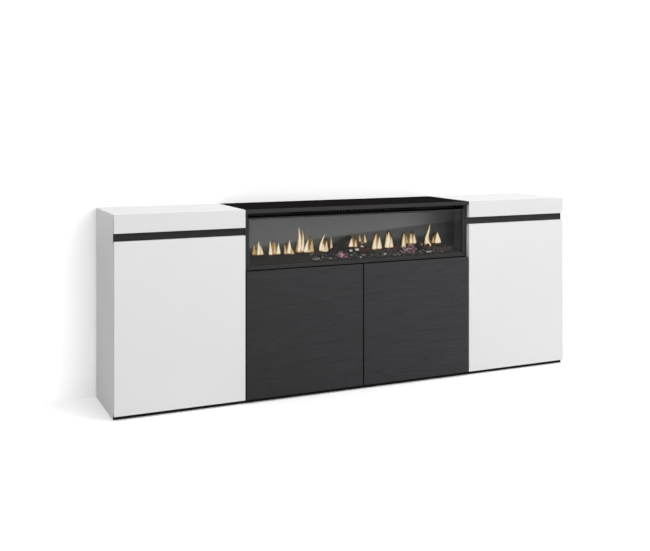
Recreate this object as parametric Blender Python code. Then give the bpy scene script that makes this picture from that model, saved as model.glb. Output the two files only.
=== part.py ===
"""Electric fireplace sideboard: a black middle cabinet with a fireplace over two doors, between two white
cabinets with one door each. +X runs along the front, the doors face -Y and +Z is up. The origin lies on
the floor under the middle of the outline."""

import math

import bmesh
import bpy
from mathutils import Matrix, Vector

for old in list(bpy.data.objects):
    bpy.data.objects.remove(old, do_unlink=True)

# Overall size and the widths of the cabinets
height = 0.7755
depth = 0.350
side_width = 0.5225
centre_width = 1.055

# Boards
board = 0.016
door_board = 0.016
back_board = 0.003
strip_board = 0.0015
edge_ease = 0.0005
round_sides = 16

# Clearances
seat = 0.0003
door_gap = 0.0022
white_door_reveal = 0.0005
black_door_reveal = 0.0045
half_door_gap = 0.0024
shelf_play = 0.0008

# Heights on the front. The fire and the fascias keep their height, and the doors take up the rest
bottom_clearance = 0.008
door_bottom = 0.0155
fire_height = 0.2475
shelf_over_black_door = 0.0013
handle_gap = 0.031
fascia_height = 0.0715
strip_lap = 0.008

# Shelves, divider and backs
shelf_height = 0.350
shelf_setback = 0.020
peg_radius = 0.0025
peg_length = 0.009
peg_inset = 0.045
back_inset = 0.003
service_width = 0.240
service_height = 0.070
service_above_shelf = 0.030

# Door hinges
hinge_from_end = 0.090
pin_from_edge = 0.0063
pin_from_face = 0.0060
pin_radius = 0.0008
pin_clearance = 0.0001
cup_radius = 0.0175
cup_wall = 0.0012
cup_floor = 0.0008
cup_from_edge = 0.003
cup_floor_clearance = 0.0002
cup_segments = 28
rim_overhang = 0.0010
rim_board = 0.0009
wing_length = 0.060
wing_width = 0.013
neck_sheet = 0.0014
neck_width = 0.006
neck_reach = 0.0125
saddle_wall = 0.0008
saddle_open = math.radians(105)
saddle_steps = 8
plate_setback = 0.004
channel_setback = 0.009
arm_length = 0.040
arm_width = 0.011
arm_rise = 0.006
plate_length = 0.050
plate_width = 0.018
plate_sheet = 0.002

# Push latch between the black doors
latch_width = 0.044
latch_height = 0.018
latch_length = 0.042
latch_setback = 0.006
plunger_radius = 0.004
plunger_clearance = 0.00015
plunger_spacing = 0.026
plunger_length = 0.040
plunger_tail_room = 0.003

# Fireplace insert
frame_setback = 0.0185
frame_depth = 0.008
frame_side_bar = 0.005
frame_top_bar = 0.0045
frame_bottom_bar = 0.0125
frame_lip = 0.0022
frame_lip_depth = 0.003
outlet_height = 0.019
glass_sheet = 0.004
glass_margin = 0.0005
steel = 0.0012
viewing_depth = 0.062
screen_sheet = 0.003
rear_depth = 0.075
outlet_width = 0.600
outlet_sheet = 0.0016
outlet_slots = 40
outlet_slot_share = 0.6
vent_slots = 12
vent_slot_width = 0.005
vent_slot_height = 0.040
vent_pitch = 0.024

# Ember bed and logs
bed_front_height = 0.0180
bed_back_height = 0.0450
bed_end_gap = 0.004
bed_columns = 44
bed_rows = 6
ripple = 0.0018
log_radius = 0.010

# Flame drive, light and blower
spindle_radius = 0.002
spindle_height = 0.055
spindle_from_screen = 0.028
flag_count = 18
flag_length = 0.034
flag_reach = 0.013
flag_sheet = 0.0008
flag_turn = math.radians(75)
bearing_radius = 0.006
bearing_depth = 0.006
running_clearance = 0.0002
motor_radius = 0.018
motor_length = 0.022
light_width = 0.010
light_board = 0.0016
light_count = 12
light_from_screen = 0.008
blower_radius = 0.022
blower_length = 0.360
blower_blades = 14
blade_sheet = 0.0009
blade_depth = 0.010
blade_lead = 0.0075
blade_inset = 0.001
blade_steps = 4
disc_sheet = 0.0020
blower_shaft_radius = 0.003
blower_from_step = 0.036
blower_under_roof = 0.026
bracket_sheet = 0.002
bracket_gap = 0.004
bracket_width = 0.024

# Cord bush
bush_from_end = 0.080
bush_height = 0.040
bush_bore = 0.0035
bush_radius = 0.0075
bush_flange = 0.0110
bush_flange_sheet = 0.0025
bush_length = 0.012


def behind_front(distance):
    """The y of the plane that lies this far behind the door fronts."""
    return distance - depth / 2


# Planes and levels that several pieces share, as distances behind the door fronts and heights
strip_front = door_board + door_gap
fascia_back = strip_front - seat
carcass_front = strip_front + strip_board + seat
carcass_back = depth - back_board - seat
bottom_top = bottom_clearance + board
top_underside = height - board
carcass_top = top_underside - seat
white_door_top = height - fascia_height - handle_gap
black_door_top = height - fire_height
insert_shelf_top = black_door_top + shelf_over_black_door
insert_shelf_underside = insert_shelf_top - board
insert_floor = insert_shelf_top + seat
insert_top = top_underside - seat
frame_top = insert_top - outlet_height
frame_back = frame_setback + frame_depth
housing_front = frame_back + seat
glass_back = housing_front + glass_sheet
screen_front = glass_back + viewing_depth
screen_back = screen_front + screen_sheet
step_front = screen_back + steel
housing_back = step_front + rear_depth
insert_half = centre_width / 2 - seat / 2 - board - seat
tray_floor = insert_floor + steel

half_width = side_width + centre_width / 2
joint_x = centre_width / 2
cabinet_ends = {
    "left": (-half_width, -joint_x - seat / 2),
    "centre": (-joint_x + seat / 2, joint_x - seat / 2),
    "right": (joint_x + seat / 2, half_width),
}


def finish(name, colour, roughness, metallic=0.0):
    """A plain material of one colour."""
    material = bpy.data.materials.new(name)
    material.use_nodes = True
    surface = material.node_tree.nodes["Principled BSDF"]
    surface.inputs["Base Color"].default_value = (*colour, 1)
    surface.inputs["Roughness"].default_value = roughness
    surface.inputs["Metallic"].default_value = metallic
    material.diffuse_color = (*colour, 1)
    return material


white = finish("white_board", (0.85, 0.85, 0.85), 0.35)
black_wood = finish("black_wood", (0.050, 0.047, 0.052), 0.5)
black_trim = finish("black_trim", (0.020, 0.020, 0.022), 0.4)
hardboard = finish("hardboard", (0.42, 0.33, 0.24), 0.8)
zinc = finish("zinc", (0.60, 0.60, 0.58), 0.35, 1.0)
black_steel = finish("black_steel", (0.030, 0.030, 0.032), 0.45)
bare_steel = finish("bare_steel", (0.55, 0.55, 0.55), 0.35, 1.0)
smoked_glass = finish("smoked_glass", (0.25, 0.25, 0.26), 0.05)
screen_grey = finish("screen_grey", (0.12, 0.12, 0.12), 0.3)
charred = finish("charred", (0.045, 0.036, 0.028), 0.9)
grey_plastic = finish("grey_plastic", (0.35, 0.35, 0.35), 0.5)
board_green = finish("board_green", (0.04, 0.16, 0.08), 0.5)


def place(name, mesh, material, location=(0, 0, 0)):
    obj = bpy.data.objects.new(name, mesh)
    obj.location = location
    if not mesh.materials:
        mesh.materials.append(material)
    bpy.context.collection.objects.link(obj)
    return obj


def as_object(name, bm, material, location=(0, 0, 0)):
    """Makes an object of a bmesh whose points are given from location."""
    bmesh.ops.recalc_face_normals(bm, faces=bm.faces)
    mesh = bpy.data.meshes.new(name)
    bm.to_mesh(mesh)
    bm.free()
    return place(name, mesh, material, location)


def block(name, low, high, material, ease=edge_ease):
    """A board or bar between two corners, its edges eased by a small chamfer."""
    low = Vector(low)
    high = Vector(high)
    bm = bmesh.new()
    bmesh.ops.create_cube(bm, size=1)
    bmesh.ops.scale(bm, vec=high - low, verts=bm.verts)
    if ease:
        bmesh.ops.bevel(bm, geom=bm.edges[:], offset=ease, segments=1, affect="EDGES")
    return as_object(name, bm, material, (low + high) / 2)


def rod(name, start, end, radius, material, segments=round_sides):
    """A round bar between two points."""
    start = Vector(start)
    axis = Vector(end) - start
    turn = axis.to_track_quat("Z", "Y").to_matrix().to_4x4()
    bm = bmesh.new()
    bmesh.ops.create_cone(
        bm, cap_ends=True, segments=segments, radius1=radius, radius2=radius, depth=axis.length, matrix=turn
    )
    return as_object(name, bm, material, start + axis / 2)


def extrusion(name, outline, low, high, axes, material, location=(0, 0, 0)):
    """A closed outline of (first, second) points in the plane of two axes, from low to high on the third."""
    third = ({0, 1, 2} - set(axes)).pop()
    bm = bmesh.new()
    verts = []
    for first, second in outline:
        point = [0, 0, 0]
        point[axes[0]] = first
        point[axes[1]] = second
        point[third] = low
        verts.append(bm.verts.new(point))
    face = bm.faces.new(verts)
    moved = bmesh.ops.extrude_face_region(bm, geom=[face])["geom"]
    shift = [0, 0, 0]
    shift[third] = high - low
    far_end = [part for part in moved if isinstance(part, bmesh.types.BMVert)]
    bmesh.ops.translate(bm, vec=shift, verts=far_end)
    return as_object(name, bm, material, location)


def turned(name, profile, turn, material, location=(0, 0, 0), segments=24):
    """A (radius, height) profile, with both ends on the axis or joined up, spun about +Z and then turned."""
    bm = bmesh.new()
    verts = [bm.verts.new((radius, 0, level)) for radius, level in profile]
    edges = [bm.edges.new(pair) for pair in zip(verts, verts[1:])]
    if profile[0][0] > 0:
        edges.append(bm.edges.new((verts[-1], verts[0])))
    bmesh.ops.spin(bm, geom=verts + edges, axis=(0, 0, 1), cent=(0, 0, 0), steps=segments, angle=math.tau)
    bmesh.ops.remove_doubles(bm, verts=bm.verts, dist=1e-6)
    bmesh.ops.transform(bm, matrix=turn.to_4x4(), verts=bm.verts)
    return as_object(name, bm, material, location)


def hide(tool):
    tool.hide_render = True
    tool.display_type = "WIRE"


def combine(target, tool, operation):
    modifier = target.modifiers.new(tool.name, "BOOLEAN")
    modifier.operation = operation
    modifier.object = tool
    hide(tool)


def cut(target, *tools):
    for tool in tools:
        combine(target, tool, "DIFFERENCE")


def fuse(target, *tools):
    for tool in tools:
        combine(target, tool, "UNION")


def worked_mesh(obj):
    """An object's mesh with its modifiers and place worked in. The object itself is taken away."""
    bpy.context.view_layer.update()
    graph = bpy.context.evaluated_depsgraph_get()
    mesh = bpy.data.meshes.new_from_object(obj.evaluated_get(graph))
    mesh.transform(obj.matrix_world)
    mesh.name = obj.name
    bpy.data.objects.remove(obj, do_unlink=True)
    return mesh


def mirrored_mesh(mesh):
    """The same mesh turned into its opposite hand across x = 0."""
    bm = bmesh.new()
    bm.from_mesh(mesh)
    bmesh.ops.scale(bm, vec=(-1, 1, 1), verts=bm.verts)
    bmesh.ops.recalc_face_normals(bm, faces=bm.faces)
    copy = bpy.data.meshes.new(mesh.name + "_mirrored")
    bm.to_mesh(copy)
    bm.free()
    copy.materials.append(mesh.materials[0])
    return copy


def bored(flat_radius):
    """The radius to the corners of a faceted bore whose flats lie at this radius."""
    return flat_radius / math.cos(math.pi / round_sides)


def smooth_round(obj):
    obj.data.shade_smooth()
    obj.data.set_sharp_from_angle(angle=math.radians(35))


# Carcasses


def peg_places():
    """The y of the front and back shelf pegs."""
    front = carcass_front + shelf_setback + peg_inset
    back = carcass_back - shelf_play - peg_inset
    return behind_front(front), behind_front(back)


def side_panel(name, low_x, material, peg_face=0):
    """An upright. peg_face is +1 or -1 where the face towards +X or -X has the holes for the shelf pegs."""
    low = (low_x, behind_front(carcass_front), 0)
    high = (low_x + board, behind_front(carcass_back), carcass_top)
    panel = block(name, low, high, material)
    if peg_face:
        face = low_x + board if peg_face > 0 else low_x
        for number, y in enumerate(peg_places()):
            start = (face + peg_face * board / 4, y, shelf_height)
            end = (face - peg_face * (peg_length + seat), y, shelf_height)
            cut(panel, rod(f"{name}_peg_hole_{number}", start, end, peg_radius + seat, material, 12))
    return panel


def lying_board(name, ends, front, back, underside, material):
    low = (ends[0], behind_front(front), underside)
    high = (ends[1], behind_front(back), underside + board)
    return block(name, low, high, material)


def inner_ends(cabinet):
    """The x where the boards between a cabinet's two uprights end."""
    return cabinet_ends[cabinet][0] + board + seat, cabinet_ends[cabinet][1] - board - seat


def back_panel(name, cabinet):
    start, end = cabinet_ends[cabinet]
    low = (start + back_inset, behind_front(depth - back_board), back_inset)
    high = (end - back_inset, behind_front(depth), height - back_inset)
    return block(name, low, high, hardboard, 0)


def front_strip(name, cabinet, underside, top):
    """A thin black strip on the front edges of the carcass, as wide as the cabinet."""
    start, end = cabinet_ends[cabinet]
    low = (start, behind_front(strip_front), underside)
    high = (end, behind_front(strip_front + strip_board), top)
    return block(name, low, high, black_trim, 0)


def shelf(name, cabinet):
    """A loose shelf with a metal peg let into each corner of its ends."""
    start = cabinet_ends[cabinet][0] + board + shelf_play
    end = cabinet_ends[cabinet][1] - board - shelf_play
    front = carcass_front + shelf_setback
    underside = shelf_height - board / 2
    plank = lying_board(name, (start, end), front, carcass_back - shelf_play, underside, white)
    for number, y in enumerate(peg_places()):
        for end_name, face, outwards in (("left", start, -1), ("right", end, 1)):
            inner = (face - outwards * peg_length, y, shelf_height)
            outer = (face + outwards * (shelf_play + peg_length), y, shelf_height)
            fuse(plank, rod(f"{name}_{end_name}_peg_{number}", inner, outer, peg_radius, white, 12))


def white_cabinet(side):
    """The fixed boards of one white cabinet. Its outer upright is on the side that it is named for."""
    start, end = cabinet_ends[side]
    left_name, right_name = ("outer_side", "inner_side") if side == "left" else ("inner_side", "outer_side")
    side_panel(f"{side}_{left_name}", start, white, 1)
    side_panel(f"{side}_{right_name}", end - board, white, -1)
    lying_board(f"{side}_bottom", inner_ends(side), carcass_front, carcass_back, bottom_clearance, white)
    lying_board(f"{side}_top", (start, end), strip_front, carcass_back, top_underside, white)
    shelf(f"{side}_shelf", side)
    back_panel(f"{side}_back", side)
    front_strip(f"{side}_base_strip", side, 0, bottom_top)
    front_strip(f"{side}_handle_strip", side, white_door_top - strip_lap, carcass_top)
    low = (start, behind_front(0), height - fascia_height)
    block(f"{side}_fascia", low, (end, behind_front(fascia_back), height), white)


def centre_cabinet():
    start, end = cabinet_ends["centre"]
    side_panel("centre_left_side", start, black_wood)
    side_panel("centre_right_side", end - board, black_wood)
    ends = inner_ends("centre")
    lying_board("centre_bottom", ends, carcass_front, carcass_back, bottom_clearance, black_wood)
    lying_board("fireplace_shelf", ends, carcass_front, carcass_back, insert_shelf_underside, black_wood)
    lying_board("centre_top", (start, end), 0, carcass_back, top_underside, black_wood)
    front_strip("centre_base_strip", "centre", 0, bottom_top)
    panel = back_panel("centre_back", "centre")
    low_z = insert_shelf_top + service_above_shelf
    low = (-service_width / 2, behind_front(depth - 3 * back_board), low_z)
    high = (service_width / 2, behind_front(depth + 2 * back_board), low_z + service_height)
    cut(panel, block("service_opening", low, high, hardboard, 0))
    centre_divider()


def centre_divider():
    """The upright under the fireplace, notched at its top front corner for the push latch."""
    front = behind_front(carcass_front)
    back = behind_front(carcass_back)
    top = insert_shelf_underside - seat
    floor = bottom_top + seat
    notch_back = behind_front(carcass_front + latch_setback + latch_length + seat)
    notch_floor = top - latch_height - seat
    outline = [(front, floor), (back, floor), (back, top), (notch_back, top), (notch_back, notch_floor)]
    outline.append((front, notch_floor))
    extrusion("centre_divider", outline, -board / 2, board / 2, (1, 2), black_wood)


# Doors and hinges


def hinge_cup():
    """The pressed cup of a hinge with its screw wings and pin. The door's edge lies towards -X and the
    cup's open side faces +Y. Points are given from the middle of the pin."""
    cup_depth = door_board - pin_from_face + pin_radius + cup_floor_clearance + cup_floor
    centre_x = cup_from_edge + cup_radius - pin_from_edge
    floor_y = -pin_radius - cup_floor_clearance - cup_floor
    mouth = cup_depth
    rim = cup_radius + rim_overhang
    inner = cup_radius - cup_wall
    under_rim = mouth + seat
    rim_top = under_rim + rim_board
    profile = [(0, 0), (cup_radius, 0), (cup_radius, under_rim), (rim, under_rim), (rim, rim_top)]
    profile += [(inner, rim_top), (inner, cup_floor), (0, cup_floor)]
    cup = turned("hinge_cup", profile, Matrix.Rotation(-math.pi / 2, 3, "X"), zinc, (centre_x, floor_y, 0),
                 cup_segments)
    wing_y = floor_y + under_rim
    for name, start, end in (("upper", inner + cup_wall / 2, wing_length / 2),
                             ("lower", -wing_length / 2, -inner - cup_wall / 2)):
        low = (centre_x - wing_width / 2, wing_y, start)
        high = (centre_x + wing_width / 2, wing_y + rim_board, end)
        fuse(cup, block(f"hinge_cup_{name}_wing", low, high, zinc, 0))
    half_chord = math.sqrt((inner + cup_wall / 2) ** 2 - centre_x**2)
    fuse(cup, rod("hinge_pin", (0, 0, -half_chord), (0, 0, half_chord), pin_radius, zinc, 12))
    return cup


def hinge_arm(wall_offset):
    """The arm of a hinge. Its saddle bears on the pin, its neck bends out of the cup, and its plate lies on
    the upright, whose face is wall_offset from the pin. Points are given from the middle of the pin."""
    bearing = pin_radius + pin_clearance
    outer = bearing + saddle_wall
    lower_face = -pin_radius
    upper_face = lower_face + neck_sheet
    neck_end = carcass_front + plate_setback + plate_length / 4 - pin_from_face
    open_from = math.asin(lower_face / bearing)
    outline = []
    for step in range(saddle_steps + 1):
        angle = open_from + (saddle_open - open_from) * step / saddle_steps
        outline.append((bearing * math.cos(angle), bearing * math.sin(angle)))
    back_to = math.asin(upper_face / outer)
    for step in range(saddle_steps + 1):
        angle = saddle_open + (back_to - saddle_open) * step / saddle_steps
        outline.append((outer * math.cos(angle), outer * math.sin(angle)))
    outline += [(neck_reach, upper_face), (neck_reach, neck_end), (neck_reach + neck_sheet, neck_end)]
    outline.append((neck_reach + neck_sheet, lower_face))
    arm = extrusion("hinge_arm", outline, -neck_width / 2, neck_width / 2, (0, 1), zinc)
    plate_y = carcass_front + plate_setback - pin_from_face
    plate_x = wall_offset + seat
    low = (plate_x, plate_y, -plate_width / 2)
    high = (plate_x + plate_sheet, plate_y + plate_length, plate_width / 2)
    plate = block("hinge_plate", low, high, zinc, 0)
    channel_x = plate_x + plate_sheet / 2
    low = (channel_x, carcass_front + channel_setback - pin_from_face, -arm_width / 2)
    high = (plate_x + plate_sheet + arm_rise, low[1] + arm_length, arm_width / 2)
    channel = block("hinge_channel", low, high, zinc)
    fuse(arm, plate, channel)
    return arm


def door(name, start, end, top, hinged_left, material, cup_meshes, arm_meshes):
    """A door with two cups let into its back, on an empty at its hinge axis, and the arms that carry it."""
    hand = 0 if hinged_left else 1
    outwards = 1 if hinged_left else -1
    edge = start if hinged_left else end
    pin = Vector((edge + outwards * pin_from_edge, behind_front(pin_from_face), door_bottom))
    axis = bpy.data.objects.new(f"{name}_axis", None)
    axis.location = pin
    bpy.context.collection.objects.link(axis)
    low = (start, behind_front(0), door_bottom)
    leaf = block(name, low, (end, behind_front(door_board), top), material)
    leaf.parent = axis
    leaf.location -= pin
    floor_depth = pin_from_face - pin_radius - cup_floor_clearance - cup_floor - seat
    centre_x = edge + outwards * (cup_from_edge + cup_radius)
    for place_name, z in (("lower", door_bottom + hinge_from_end), ("upper", top - hinge_from_end)):
        bore_floor = (centre_x, behind_front(floor_depth), z)
        bore_mouth = (centre_x, behind_front(door_board + cup_wall), z)
        cut(leaf, rod(f"{name}_{place_name}_bore", bore_floor, bore_mouth, cup_radius + seat, material,
                      cup_segments))
        cup = place(f"{name}_{place_name}_hinge_cup", cup_meshes[hand], zinc, (0, 0, z - pin.z))
        cup.parent = axis
        place(f"{name}_{place_name}_hinge_arm", arm_meshes[hand], zinc, (pin.x, pin.y, z))


def both_hands(mesh):
    return mesh, mirrored_mesh(mesh)


def doors():
    cups = both_hands(worked_mesh(hinge_cup()))
    arms = both_hands(worked_mesh(hinge_arm(board - white_door_reveal - pin_from_edge)))
    outer = half_width - white_door_reveal
    inner = joint_x + white_door_reveal
    door("left_door", -outer, -inner, white_door_top, True, white, cups, arms)
    door("right_door", inner, outer, white_door_top, False, white, cups, arms)
    arms = both_hands(worked_mesh(hinge_arm(board + seat / 2 - black_door_reveal - pin_from_edge)))
    outer = joint_x - black_door_reveal
    top = black_door_top
    door("centre_left_door", -outer, -half_door_gap, top, True, black_wood, cups, arms)
    door("centre_right_door", half_door_gap, outer, top, False, black_wood, cups, arms)
    for tool in [obj for obj in bpy.data.objects if obj.name.startswith("hinge_")]:
        bpy.data.objects.remove(tool, do_unlink=True)


def push_latch():
    """A double push latch under the fireplace shelf, with a plunger behind each black door."""
    top = insert_shelf_underside - seat
    front = carcass_front + latch_setback
    low = (-latch_width / 2, behind_front(front), top - latch_height)
    body = block("latch_body", low, (latch_width / 2, behind_front(front + latch_length), top), grey_plastic)
    middle = top - latch_height / 2
    tip = door_board + seat
    tail = tip + plunger_length
    for name, x in (("left", -plunger_spacing / 2), ("right", plunger_spacing / 2)):
        start = Vector((x, behind_front(tip), middle))
        end = Vector((x, behind_front(tail), middle))
        plunger = rod(f"{name}_plunger", start, end, plunger_radius, grey_plastic)
        smooth_round(plunger)
        bore_end = end + Vector((0, plunger_tail_room, 0))
        radius = bored(plunger_radius + plunger_clearance)
        cut(body, rod(f"{name}_plunger_bore", start, bore_end, radius, grey_plastic))


# Fireplace insert


def fireplace_frame():
    """A square-cornered frame with a stepped inner edge, which hides the rim of the glass."""
    half = insert_half
    low = (-half, behind_front(frame_setback), insert_floor)
    frame = block("fireplace_frame", low, (half, behind_front(frame_back), frame_top), black_steel)
    window_low = insert_floor + frame_bottom_bar
    window_high = frame_top - frame_top_bar
    window_half = half - frame_side_bar
    wide = block(
        "frame_window",
        (-window_half, behind_front(frame_setback - frame_depth), window_low),
        (window_half, behind_front(frame_setback + frame_lip_depth), window_high),
        black_steel,
        0,
    )
    narrow = block(
        "frame_lip_window",
        (-window_half + frame_lip, behind_front(frame_setback), window_low + frame_lip),
        (window_half - frame_lip, behind_front(frame_back + frame_depth), window_high - frame_lip),
        black_steel,
        0,
    )
    cut(frame, wide, narrow)


def firebox_housing():
    """The folded steel box of the insert: a tray open to the front, and behind it a taller chamber for the
    flame drive and the blower, with the warm air outlet in the step between them."""
    front = behind_front(housing_front)
    step = behind_front(step_front)
    back = behind_front(housing_back)
    outline = [(front, insert_floor), (back, insert_floor), (back, insert_top), (step, insert_top)]
    outline += [(step, frame_top), (front, frame_top)]
    housing = extrusion("firebox_housing", outline, -insert_half, insert_half, (1, 2), black_steel)
    inner_half = insert_half - steel
    mouth = front - steel
    low_roof = frame_top - steel
    high_roof = insert_top - steel
    hollow = [(mouth, tray_floor), (back - steel, tray_floor), (back - steel, high_roof)]
    hollow += [(step + steel, high_roof), (step + steel, low_roof), (mouth, low_roof)]
    cut(housing, extrusion("housing_hollow", hollow, -inner_half, inner_half, (1, 2), black_steel))
    outlet_low = (-outlet_width / 2, step - steel, frame_top + seat)
    outlet_high = (outlet_width / 2, step + 2 * steel, high_roof)
    cut(housing, block("housing_outlet", outlet_low, outlet_high, black_steel, 0))
    bush_x = insert_half - bush_from_end
    bush_z = insert_floor + bush_height
    hole_start = (bush_x, back - 2 * steel, bush_z)
    hole_end = (bush_x, back + steel, bush_z)
    cut(housing, rod("housing_bush_hole", hole_start, hole_end, bush_radius + seat, black_steel, 20))
    blower_z = insert_top - steel - blower_under_roof
    for number in range(vent_slots):
        x = (number - (vent_slots - 1) / 2) * vent_pitch
        low = (x - vent_slot_width / 2, back - 2 * steel, blower_z - vent_slot_height / 2)
        high = (x + vent_slot_width / 2, back + steel, blower_z + vent_slot_height / 2)
        cut(housing, block(f"housing_vent_{number}", low, high, black_steel, 0))
    bearing_supports(housing)


def bearing_supports(housing):
    """The boss that carries the left end of the flame spindle, and the two hangers of the blower's shaft."""
    y, z = spindle_centre()
    wall = -insert_half + steel
    boss_end = (wall + bearing_depth, y, z)
    boss = rod("spindle_boss", (wall - steel / 2, y, z), boss_end, bearing_radius, black_steel)
    radius = bored(spindle_radius + running_clearance)
    bore_end = (wall + 2 * bearing_depth, y, z)
    bore = rod("spindle_bore", (wall + seat, y, z), bore_end, radius, black_steel)
    y, z = blower_centre()
    roof = insert_top - steel / 2
    low_z = z - bracket_width / 2
    hangers = []
    for name, inner in (("left", -blower_length / 2 - bracket_gap - bracket_sheet),
                        ("right", blower_length / 2 + bracket_gap)):
        low = (inner, y - bracket_width / 2, low_z)
        high = (inner + bracket_sheet, y + bracket_width / 2, roof)
        hanger = block(f"{name}_blower_hanger", low, high, black_steel, 0)
        start = (inner - bracket_sheet, y, z)
        bore_end = (inner + 2 * bracket_sheet, y, z)
        radius = bored(blower_shaft_radius + running_clearance)
        cut(hanger, rod(f"{name}_hanger_bore", start, bore_end, radius, black_steel))
        hangers.append(hanger)
    fuse(housing, boss, *hangers)
    cut(housing, bore)


def spindle_centre():
    return behind_front(screen_back + spindle_from_screen), insert_floor + spindle_height


def blower_centre():
    return behind_front(step_front + blower_from_step), insert_top - steel - blower_under_roof


def front_glass():
    half = insert_half - steel - glass_margin
    low = (-half, behind_front(housing_front), tray_floor + glass_margin)
    high = (half, behind_front(glass_back), frame_top - steel - glass_margin)
    block("front_glass", low, high, smoked_glass, 0)


def flame_screen():
    half = insert_half - steel - seat
    low = (-half, behind_front(screen_front), tray_floor + seat)
    block("flame_screen", low, (half, behind_front(screen_back), frame_top - steel - seat), screen_grey, 0)


def bed_height(across, along):
    """The height of the bed's surface over the tray, at a share of its depth and of its width, rippled as
    gravel lies."""
    slope = bed_front_height + (bed_back_height - bed_front_height) * across
    bumps = math.sin(61 * along + 3 * across) + math.sin(97 * along - 5 * across) * 0.7
    bumps += math.sin(23 * along + 9 * across) * 0.6
    return slope - steel + ripple * bumps * 0.5


def ember_bed():
    """The moulded bed of embers, which slopes up to the screen, with its logs and branches."""
    half = insert_half - steel - bed_end_gap
    front = glass_back + seat
    reach = screen_front - seat - front
    bm = bmesh.new()
    rows = []
    for row in range(bed_rows + 1):
        across = row / bed_rows
        y = behind_front(front + reach * across)
        line = []
        for column in range(bed_columns + 1):
            along = column / bed_columns
            z = tray_floor + bed_height(across, along)
            line.append(bm.verts.new((half * (2 * along - 1), y, z)))
        rows.append(line)
    for near, far in zip(rows, rows[1:]):
        for column in range(bed_columns):
            bm.faces.new((near[column], near[column + 1], far[column + 1], far[column]))
    skirt = bmesh.ops.extrude_edge_only(bm, edges=[edge for edge in bm.edges if edge.is_boundary])["geom"]
    lower = [part for part in skirt if isinstance(part, bmesh.types.BMVert)]
    for vert in lower:
        vert.co.z = tray_floor + seat
    bmesh.ops.contextual_create(bm, geom=[edge for edge in bm.edges if edge.is_boundary])
    bed = as_object("ember_bed", bm, charred)
    fuse(bed, *logs())


def logs():
    """The charred branches that rise from the bed, each a tapered bar with a bent, uneven outline."""
    ends = (
        ("long_log", (-0.264, 0.60, 0.70, 1.4), (-0.053, 0.68, 2.32, 1.0)),
        ("low_log", (-0.210, 0.46, 0.80, 1.1), (-0.059, 0.58, 1.20, 1.0)),
        ("twig", (-0.039, 0.80, 0.78, 0.5), (0.110, 0.82, 1.69, 0.35)),
        ("glowing_log", (0.020, 0.66, 0.94, 1.1), (0.147, 0.68, 1.07, 0.9)),
        ("middle_log", (0.352, 0.58, 0.65, 1.2), (0.407, 0.74, 1.47, 0.9)),
        ("leaning_log", (0.634, 0.35, 0.20, 1.0), (0.593, 0.70, 1.47, 0.7)),
        ("ember_log", (0.665, 0.72, 0.76, 0.9), (0.689, 0.72, 1.36, 0.6)),
        ("right_log", (0.753, 0.62, 0.92, 1.0), (0.904, 0.46, 0.72, 1.3)),
    )
    return [tapered_log(name, *log_end(*start), *log_end(*end)) for name, start, end in ends]


def log_end(across, behind, above, thick):
    """Where a log ends and how thick it is there, from shares of the insert's half width, of the bed's
    depth, of its height at the back and of the log radius."""
    y = behind_front(glass_back + viewing_depth * behind)
    return Vector((insert_half * across, y, tray_floor + bed_back_height * above)), log_radius * thick


def tapered_log(name, start, start_radius, end, end_radius, sides=9, lengths=5):
    """Rings of points along a line between two ends, moved off it and swelled by sine waves, joined up."""
    axis = end - start
    turn = axis.to_track_quat("Z", "Y").to_matrix()
    bm = bmesh.new()
    rings = []
    for step in range(lengths + 1):
        share = step / lengths
        radius = start_radius + (end_radius - start_radius) * share
        sway = math.sin(math.pi * share) * radius * 0.5
        ring = []
        for side in range(sides):
            angle = math.tau * side / sides
            waves = 0.14 * math.sin(3 * angle + 5 * share) + 0.06 * math.sin(7 * share + angle)
            uneven = radius * (1 + waves)
            point = Vector((uneven * math.cos(angle) + sway, uneven * math.sin(angle), axis.length * share))
            ring.append(bm.verts.new(start + turn @ point))
        rings.append(ring)
    for near, far in zip(rings, rings[1:]):
        for side in range(sides):
            following = (side + 1) % sides
            bm.faces.new((near[side], near[following], far[following], far[side]))
    bm.faces.new(rings[0])
    bm.faces.new(rings[-1])
    return as_object(name, bm, charred)


def flame_spindle():
    """A rod with small mirror flags set round it in a spiral, whose turning makes the flames flicker."""
    y, z = spindle_centre()
    start = -insert_half + steel + seat * 2
    end = insert_half - steel - seat - motor_length / 2
    spindle = rod("flame_spindle", (start, y, z), (end, y, z), spindle_radius, bare_steel)
    spindle.location = (0, y, z)
    spindle.data.transform(Matrix.Translation(((start + end) / 2, 0, 0)))
    room = end - start - motor_length
    bm = bmesh.new()
    for number in range(flag_count):
        x = start + motor_length / 2 + room * (number + 0.5) / flag_count
        turn = Matrix.Rotation(flag_turn * number, 4, "X")
        size = Matrix.Diagonal((flag_length, flag_sheet, 2 * flag_reach, 1))
        bmesh.ops.create_cube(bm, size=1, matrix=Matrix.Translation((x, 0, 0)) @ turn @ size)
    fuse(spindle, as_object("spindle_flags", bm, bare_steel, (0, y, z)))


def spindle_motor():
    """The small motor on the right wall of the housing, bored for the spindle's end."""
    y, z = spindle_centre()
    wall = insert_half - steel - seat
    motor = rod("spindle_motor", (wall - motor_length, y, z), (wall, y, z), motor_radius, grey_plastic, 24)
    smooth_round(motor)
    bore_end = (wall - motor_length / 2 + seat, y, z)
    radius = bored(spindle_radius + running_clearance)
    cut(motor, rod("motor_bore", (wall - 2 * motor_length, y, z), bore_end, radius, grey_plastic))


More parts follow.
